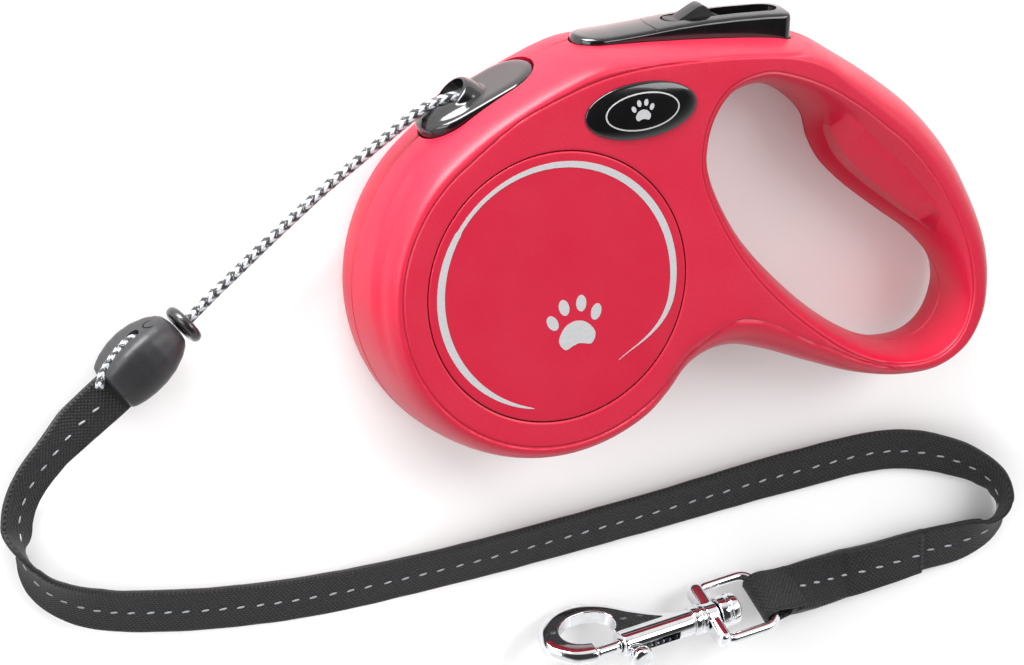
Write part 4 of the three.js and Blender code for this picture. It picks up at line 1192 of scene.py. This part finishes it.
def flat_print(name, outlines_list, z_of, material, height=0.05):
    """Printed foil: thin raised patches, each given as a 2-D outline."""
    vertices, faces = [], []
    for loop in outlines_list:
        n = len(loop)
        first = len(vertices)
        vertices += [[x, y, z_of(x, y) + height] for x, y in loop]
        vertices += [[x, y, z_of(x, y) - 0.08] for x, y in loop]
        faces.append(tuple(range(first, first + n)))
        faces.append(tuple(range(first + 2 * n - 1, first + n - 1, -1)))
        faces += [(first + n + i, first + n + (i + 1) % n, first + (i + 1) % n, first + i) for i in range(n)]
    return to_object(name, vertices, faces, material, "handle", 30)


def arc_band(r_mid, a0, a1, width_of, steps=180, drift=lambda t: 0.0):
    inner, outer = [], []
    for k in range(steps + 1):
        t = k / steps
        a = math.radians(a0 + (a1 - a0) * t)
        w = width_of(t) / 2
        r = r_mid + drift(t)
        inner.append(((r - w) * math.cos(a), (r - w) * math.sin(a)))
        outer.append(((r + w) * math.cos(a), (r + w) * math.sin(a)))
    return inner, outer


def band_object(name, inner, outer, z_of, material, height=0.05):
    n = len(inner)
    vertices = [[x, y, z_of(x, y) + height] for x, y in inner + outer]
    vertices += [[x, y, z_of(x, y) - 0.1] for x, y in inner + outer]
    faces = []
    for i in range(n - 1):
        faces.append((i, i + 1, n + i + 1, n + i))
        faces.append((2 * n + i + 1, 2 * n + i, 3 * n + i, 3 * n + i + 1))
        faces.append((2 * n + i, 2 * n + i + 1, i + 1, i))
        faces.append((n + i, n + i + 1, 3 * n + i + 1, 3 * n + i))
    faces.append((0, n, 3 * n, 2 * n))
    faces.append((n - 1, 3 * n - 1, 4 * n - 1, 2 * n - 1))
    obj = to_object(name, vertices, faces, material, "handle", 30)
    fix = bmesh.new()
    fix.from_mesh(obj.data)
    bmesh.ops.recalc_face_normals(fix, faces=fix.faces)
    fix.to_mesh(obj.data)
    fix.free()
    return obj


def oval(cx, cy, a, b, turn=0.0, n=36):
    c, s = math.cos(math.radians(turn)), math.sin(math.radians(turn))
    return [(cx + a * math.cos(t) * c - b * math.sin(t) * s, cy + a * math.cos(t) * s + b * math.sin(t) * c)
            for t in np.linspace(0, 2 * np.pi, n, endpoint=False)]


def paw(cx, cy, size, turn):
    """A plain paw print: one pad and four toes."""
    c, s = math.cos(math.radians(turn)), math.sin(math.radians(turn))
    pad = catmull([(x, y, 0) for x,
                   y in ((0, 0.12), (0.42, -0.02), (0.72, -0.5), (0.52, -0.86), (0.2, -0.78), (0, -0.74),
                                          (-0.2, -0.78), (-0.52, -0.86), (-0.72, -0.5), (-0.42, -0.02))], 6,
                                          True)
    shapes = [[(x, y) for x, y, _ in pad][::-1]]
    for x, y, tilt in ((-0.86, 0.26, 24), (-0.34, 0.72, 8), (0.34, 0.72, -8), (0.86, 0.26, -24)):
        shapes.append(oval(x, y, 0.2, 0.31, tilt, 24))
    out = []
    for shape in shapes:
        moved = [(cx + size * (x * c - y * s), cy + size * (x * s + y * c)) for x, y in shape]
        area = sum(a[0] * b[1] - b[0] * a[1] for a, b in zip(moved, moved[1:] + moved[:1]))
        out.append(moved if area > 0 else moved[::-1])
    return out


disc_piece("label_front_disc", 1, LABEL_RED, ["label_front"])
disc_piece("label_back_disc", -1, LABEL_RED, ["label_back"])
flat = lambda x, y: THICK
inner, outer = arc_band(
    30.0, 262, -48,
    lambda t: 0.12 + 1.9 * math.sin(math.pi * min(1, t * 2.2)) ** 0.7 * (t < 0.36) + (t >= 0.36) * (
        0.95 + 0.75 * math.sin(math.pi * min(1, max(0, (t - 0.42) / 0.58))) ** 1.2) * (
        1 - smoothstep(t, 0.86, 1.0)),
    drift=lambda t: -4.5 * float(smoothstep(t, 0.86, 1.0)) ** 1.3)
band_object("label_ring", inner, outer, flat, SILVER)
flat_print("label_paw", paw(5.2, -9.5, 6.6, 12), flat, SILVER)

BADGE_TURN = 6.4


def badge_height(x, y):
    """The badge's crowned top."""
    c, s = math.cos(math.radians(BADGE_TURN)), math.sin(math.radians(BADGE_TURN))
    dx, dy = x - 19.0, y - 42.2
    u, v = (dx * c + dy * s) / 14.4, (-dx * s + dy * c) / 7.0
    return THICK + 0.25 + 1.15 * math.sqrt(max(0.0, 1 - min(1.0, u * u + v * v)))


def make_badge():
    n, rings = 120, []
    for k in np.linspace(0, np.pi / 2, 16)[:-1]:
        rings.append((math.cos(k), 0.25 + 1.15 * math.sin(k)))
    vertices = [[x, y, THICK - 0.9] for x, y in oval(19, 42.2, 14.4, 7.0, BADGE_TURN, n)]
    for f, up in rings:
        vertices += [[x, y, THICK + up] for x, y in oval(19, 42.2, 14.4 * f, 7.0 * f, BADGE_TURN, n)]
    vertices.append([19, 42.2, THICK + 1.4])
    faces = grid_faces(len(rings) + 1, n) + [tuple(range(n - 1, -1, -1))]
    last = len(rings) * n
    faces += [(last + k, last + (k + 1) % n, len(vertices) - 1) for k in range(n)]
    to_object("badge_dome", vertices, faces, GLOSS, "handle", 60, ["badge"])
    ring_in, ring_out = oval(19, 42.2, 9.2, 4.35, BADGE_TURN, 96), oval(19, 42.2, 9.55, 4.7, BADGE_TURN, 96)
    band_object("badge_ring", ring_in + ring_in[:1], ring_out + ring_out[:1], badge_height, SILVER,
                0.04)
    flat_print("badge_paw", paw(19.0, 42.4, 2.7, BADGE_TURN), badge_height, SILVER, 0.05)


make_badge()


# ---------- cord outlet ----------
def make_outlet():
    outline = stadium(31.8, 17.6, 0.0, 40)
    levels = [(-4.0, 0.0), (-0.2, 0.0), (0.15, 0.12), (0.5, 0.4), (0.78, 0.85), (0.95, 1.5), (1.05, 2.4)]
    base = np.array(outline)
    t = np.roll(base, -1, 0) - np.roll(base, 1, 0)
    t /= np.linalg.norm(t, axis=1)[:, None]
    inward = np.column_stack([-t[:, 1], t[:, 0]])
    vertices = []
    for out, draw in levels:
        vertices += [[x, y, out] for x, y in base + inward * draw]
    n = len(base)
    plate = raw_object("cord_outlet_shell", vertices,
                       grid_faces(len(levels), n) + [tuple(range(n - 1, -1, -1)), tuple(range(6 * n, 7 * n))])
    # the swelling that carries the mouth, then its lip
    v, f = lathe([[-1, 0]] + [[-math.cos(a), math.sin(a)]
                              for a in np.linspace(0.12, np.pi - 0.12, 20)] + [[1, 0]], 48)
    nose = v * [9.5, 8.3, 4.4] + [-6.3, 0, -0.9]
    d = np.array([-0.42, 0.0, 0.91])
    mouth = Matrix.Translation((-5.4, 0,
                                3.6)) @ Vector((1, 0, 0)).rotation_difference(Vector(d)).to_matrix().to_4x4()

    def at_mouth(points):
        return np.array([mouth @ Vector(p) for p in points])

    tube_v, tube_f = lathe(rounded([[-7, 0], [-7, 6.6], [-2.2, 5.9], [-0.1, 5.1], [-0.1, 0]], 0.7), 56)
    boolean(plate, [raw_object("t", nose, f), raw_object("t", at_mouth(tube_v), tube_f)], "UNION")
    slab = prism([(-30, -30), (30, -30), (30, 30), (-30, 30)], -26, -4.6)
    boolean(plate, [raw_object("t", *slab)])
    voxel_melt(plate, 0.24, 14)
    dish = lathe([[4, 0], [4, 4.7], [0.2, 4.5], [-0.8, 4.2], [-2.2, 3.6], [-3.4, 2.4], [-4.2, 0]], 56)
    boolean(plate, [raw_object("t", at_mouth(dish[0]), dish[1])])
    place(plate, outlet_place)
    path = catmull(FREE_RUN[2:8], 12)
    channel = sweep(resample(path, 60), circle(CORD_R + 0.42, 28))
    boolean(plate, [raw_object("t", *channel)])
    finish_piece(plate, GLOSS, "handle", 42, ["cord_outlet"])


make_outlet()


# ---------- button and lock ----------
def button_top(x, z):
    ridge = np.interp(x, [7.6, 12, 17.5, 25, 33, 40, 48, 56, 60, 62.4],
                      [56.5, 56.85, 57.3, 58.2, 59.3, 60.0, 60.5, 60.75, 60.7, 60.55])
    return ridge + 0.55 * (1 - ((z - 14) / 6.0) ** 2)


def make_button():
    loop = np.array(button_outline())
    dense = resample(np.column_stack([loop, np.zeros(len(loop))]), 220, True)[:, :2]
    t = np.roll(dense, -1, 0) - np.roll(dense, 1, 0)
    t /= np.linalg.norm(t, axis=1)[:, None]
    inward = np.column_stack([-t[:, 1], t[:, 0]])
    levels = [(None, 0.0), (1.15, 0.0), (0.85, 0.03), (0.55, 0.12), (0.3, 0.28), (0.12, 0.5), (0.03, 0.75),
              (0.0, 1.05)]
    vertices = []
    for below, draw in levels:
        p = dense + inward * draw
        for x, z in p:
            y = 52.6 if below is None else button_top(x, z) - below
            vertices.append([x, y, z])
    inner = np.array(vertices[-220:])[:, [0, 2]]
    gx, gz = np.meshgrid(np.arange(7.5, 63, 0.9), np.arange(8, 20.2, 0.9))
    loose = np.column_stack([gx.ravel(), gz.ravel()])
    loose = loose[inside(loose, inner) & (near(loose, [inner]) > 0.4)]
    first = len(vertices)
    vertices += [[x, float(button_top(x, z)), z] for x, z in loose]
    out, _, tris, origin, _, _ = delaunay_2d_cdt(
        [Vector(p) for p in np.vstack([inner, loose]).tolist()], [(i, (i + 1) % 220) for i in range(220)],
        [], 0, 1e-6)
    index = list(range(first - 220, first + len(loose)))
    faces = grid_faces(len(levels), 220) + [tuple(range(219, -1, -1))]
    pts = np.array([(v.x, v.y) for v in out])
    for tri in tris:
        if len(tri) == 3 and inside(pts[list(tri)].mean(0)[None, :], inner)[0]:
            faces.append(tuple(index[origin[i][0]] for i in tri))
    body = raw_object("brake_button_cap", vertices, faces)

    def xz_prism(outline, y0, y1):
        v, f = prism(outline, y0, y1)
        return raw_object("t", np.column_stack([v[:, 0], v[:, 2], v[:, 1]]), f)

    def slot_outline(x0, x1, half):
        r = half
        right = [(x1 - r + r * math.cos(a), 14 + half * math.sin(a))
                 for a in np.linspace(-np.pi / 2, np.pi / 2, 16)]
        left = [(x0 + r + r * math.cos(a), 14 + half * math.sin(a))
                for a in np.linspace(np.pi / 2, 1.5 * np.pi, 16)]
        return right + left

    track = xz_prism(slot_outline(30.6, 60.3, 3.25), 58.4, 66)
    seam_line = [(26.4 + 0.9 * abs((z - 14) / 6) ** 2, float(button_top(26.6, z)) + 0.06, z)
                 for z in np.linspace(7, 21, 25)]
    seam = sweep(np.array(seam_line), circle(0.3, 12))
    pin = lathe([[6, 0], [6, 1.4], [22, 1.4], [22, 0]], 24, "z")
    boolean(body, [track, raw_object("t", *seam), raw_object("t", pin[0] + [12, 52.4, 0], pin[1])])
    finish_piece(body, GLOSS, "brake_button", 38, ["brake_button"])
    m = body.modifiers.new("weighted", "WEIGHTED_NORMAL")
    m.keep_sharp = True

    # the slider: a sole in the track and a swept fin for the thumb
    sole = rounded_rectangle(31.2, 46.0, 11.2, 16.8, 2.6, 6)
    v, f = prism(sole, 58.75, 59.65)
    slider = raw_object("lock_slider_fin", np.column_stack([v[:, 0], v[:, 2], v[:, 1]]), f)
    side = catmull([(x, y, 0)
                    for x, y in ((33.6, 59.3), (35.4, 60.4), (37.6, 61.8), (39.3, 62.75), (40.5, 62.95),
                                           (41.5, 62.4), (42.6, 61.2), (44.0, 60.3), (45.6, 59.7))],
                                           8)[:, :2].tolist()
    v, f = prism(side + [(45.6, 59.0), (33.6, 59.0)], 11.8, 16.2)
    boolean(slider, [raw_object("t", v, f)], "UNION")
    m = slider.modifiers.new("edge", "BEVEL")
    m.width, m.segments, m.limit_method, m.angle_limit = 0.00035, 3, "ANGLE", math.radians(40)
    applied(slider)
    finish_piece(slider, DARK, "lock_slider", 38, ["lock_slider"])
    glint = raw_object("lock_spring_leaf", *prism(rounded_rectangle(31.6, 34.4, 0, 2.0, 0.4, 3), 58.9, 59.5))
    place(glint, lambda q: np.column_stack([q[:, 0], q[:, 2], q[:, 1] + 13.0]))
    finish_piece(glint, STEEL, "brake_button", 40)


make_button()


# ---------- screws and inner parts ----------
def make_screws():
    for k, (x, y) in enumerate(SCREWS):
        z = PART_Z - PART_Z * float(taper(x)) + 0.8
        profile = rounded([[z, 0], [z, 2.6], [z + 1.5, 2.6], [z + 1.5, 1.4], [21.0, 1.4], [22.0, 0.7],
                           [22.0, 0]], 0.18)
        v, f = lathe(profile, 40, "z")
        obj = raw_object(f"casing_screw_head_{k + 1}", v + [x, y, 0], f)
        turn = 20 + 37 * k
        tools = []
        for extra in (0, 90):
            c, s = math.cos(math.radians(turn + extra)), math.sin(math.radians(turn + extra))
            bar = [(x + a * c - b * s, y + a * s + b * c)
                   for a, b in ((-1.6, -0.3), (1.6, -0.3), (1.6, 0.3), (-1.6, 0.3))]
            tools.append(raw_object("t", *prism(bar, z - 1, z + 0.9)))
        boolean(obj, tools)
        finish_piece(obj, STEEL, "handle", 35, [f"casing_screw_{k + 1}"])


make_screws()
INNER = {
    "drum": WHITE, "drum_flange": WHITE, "spring_cover": WHITE, "brake_plunger": WHITE, "cord_winding": BRAID,
    "cord_inner": BRAID, "spring_arbor": STEEL, "axle": STEEL, "axle_washer_back": STEEL,
    "axle_washer_front": STEEL,
    "power_spring": STEEL, "button_pivot_pin": STEEL, "button_spring": STEEL, "bolt_spring": STEEL,
}
for name, material in INNER.items():
    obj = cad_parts[name]
    obj.data.materials.clear()
    obj.data.materials.append(material)


# ---------- floor and light ----------
def make_stage():
    mesh = bpy.data.meshes.new("floor")
    mesh.from_pydata([(-4, -4, -0.0006), (4, -4, -0.0006), (4, 4, -0.0006), (-4, 4, -0.0006)], [],
                     [(0, 1, 2, 3)])
    floor = bpy.data.objects.new("floor", mesh)
    scene.collection.objects.link(floor)
    material, tree, bsdf = new_material("floor_paper", Roughness=0.85)
    bsdf.inputs["Specular IOR Level"].default_value = 0.2
    tone = remap(tree, noise(tree, 3, 2), 0.3, 0.7, 0.0, 1.0)
    tree.links.new(mix_colour(tree, tone, (0.90, 0.90, 0.90, 1), (0.88, 0.88, 0.88, 1)),
                   bsdf.inputs["Base Color"])
    mesh.materials.append(material)


def softbox(name, right, up, back, width, height, power):
    data = bpy.data.lights.new(name, "AREA")
    data.shape = "RECTANGLE"
    data.size, data.size_y = width, height
    data.energy = power
    lamp = bpy.data.objects.new(name, data)
    lamp.location = AIM + RIGHT * right + UP * up + TO_CAMERA * back
    lamp.rotation_mode = "QUATERNION"
    lamp.rotation_quaternion = (AIM - lamp.location).to_track_quat("-Z", "Y")
    scene.collection.objects.link(lamp)


make_stage()
softbox("key", -0.30, 0.80, 0.62, 0.9, 0.5, 27)
softbox("fill", -0.7, -0.1, 0.9, 0.6, 0.8, 5)
softbox("side", 0.9, 0.25, 0.55, 0.4, 0.7, 5)


def make_world():
    """Even white light on matt surfaces; polished ones mirror a much darker room."""
    world = bpy.data.worlds.new("studio")
    world.use_nodes = True
    tree = world.node_tree
    ray = tree.nodes.new("ShaderNodeLightPath")
    split = tree.nodes.new("ShaderNodeSeparateXYZ")
    tree.links.new(tree.nodes.new("ShaderNodeTexCoord").outputs["Generated"], split.inputs["Vector"])
    band = remap(tree, split.outputs["Z"], 0.80, 0.55, 0.05, 1.0)
    shift = math_node(tree, "MULTIPLY", ray.outputs["Is Glossy Ray"], math_node(tree, "SUBTRACT", band, 0.8))
    tree.links.new(math_node(tree, "ADD", shift, 0.8), tree.nodes["Background"].inputs["Strength"])
    tree.nodes["Background"].inputs["Color"].default_value = (1, 1, 1, 1)
    return world


scene.world = make_world()
scene.view_settings.view_transform = "Standard"
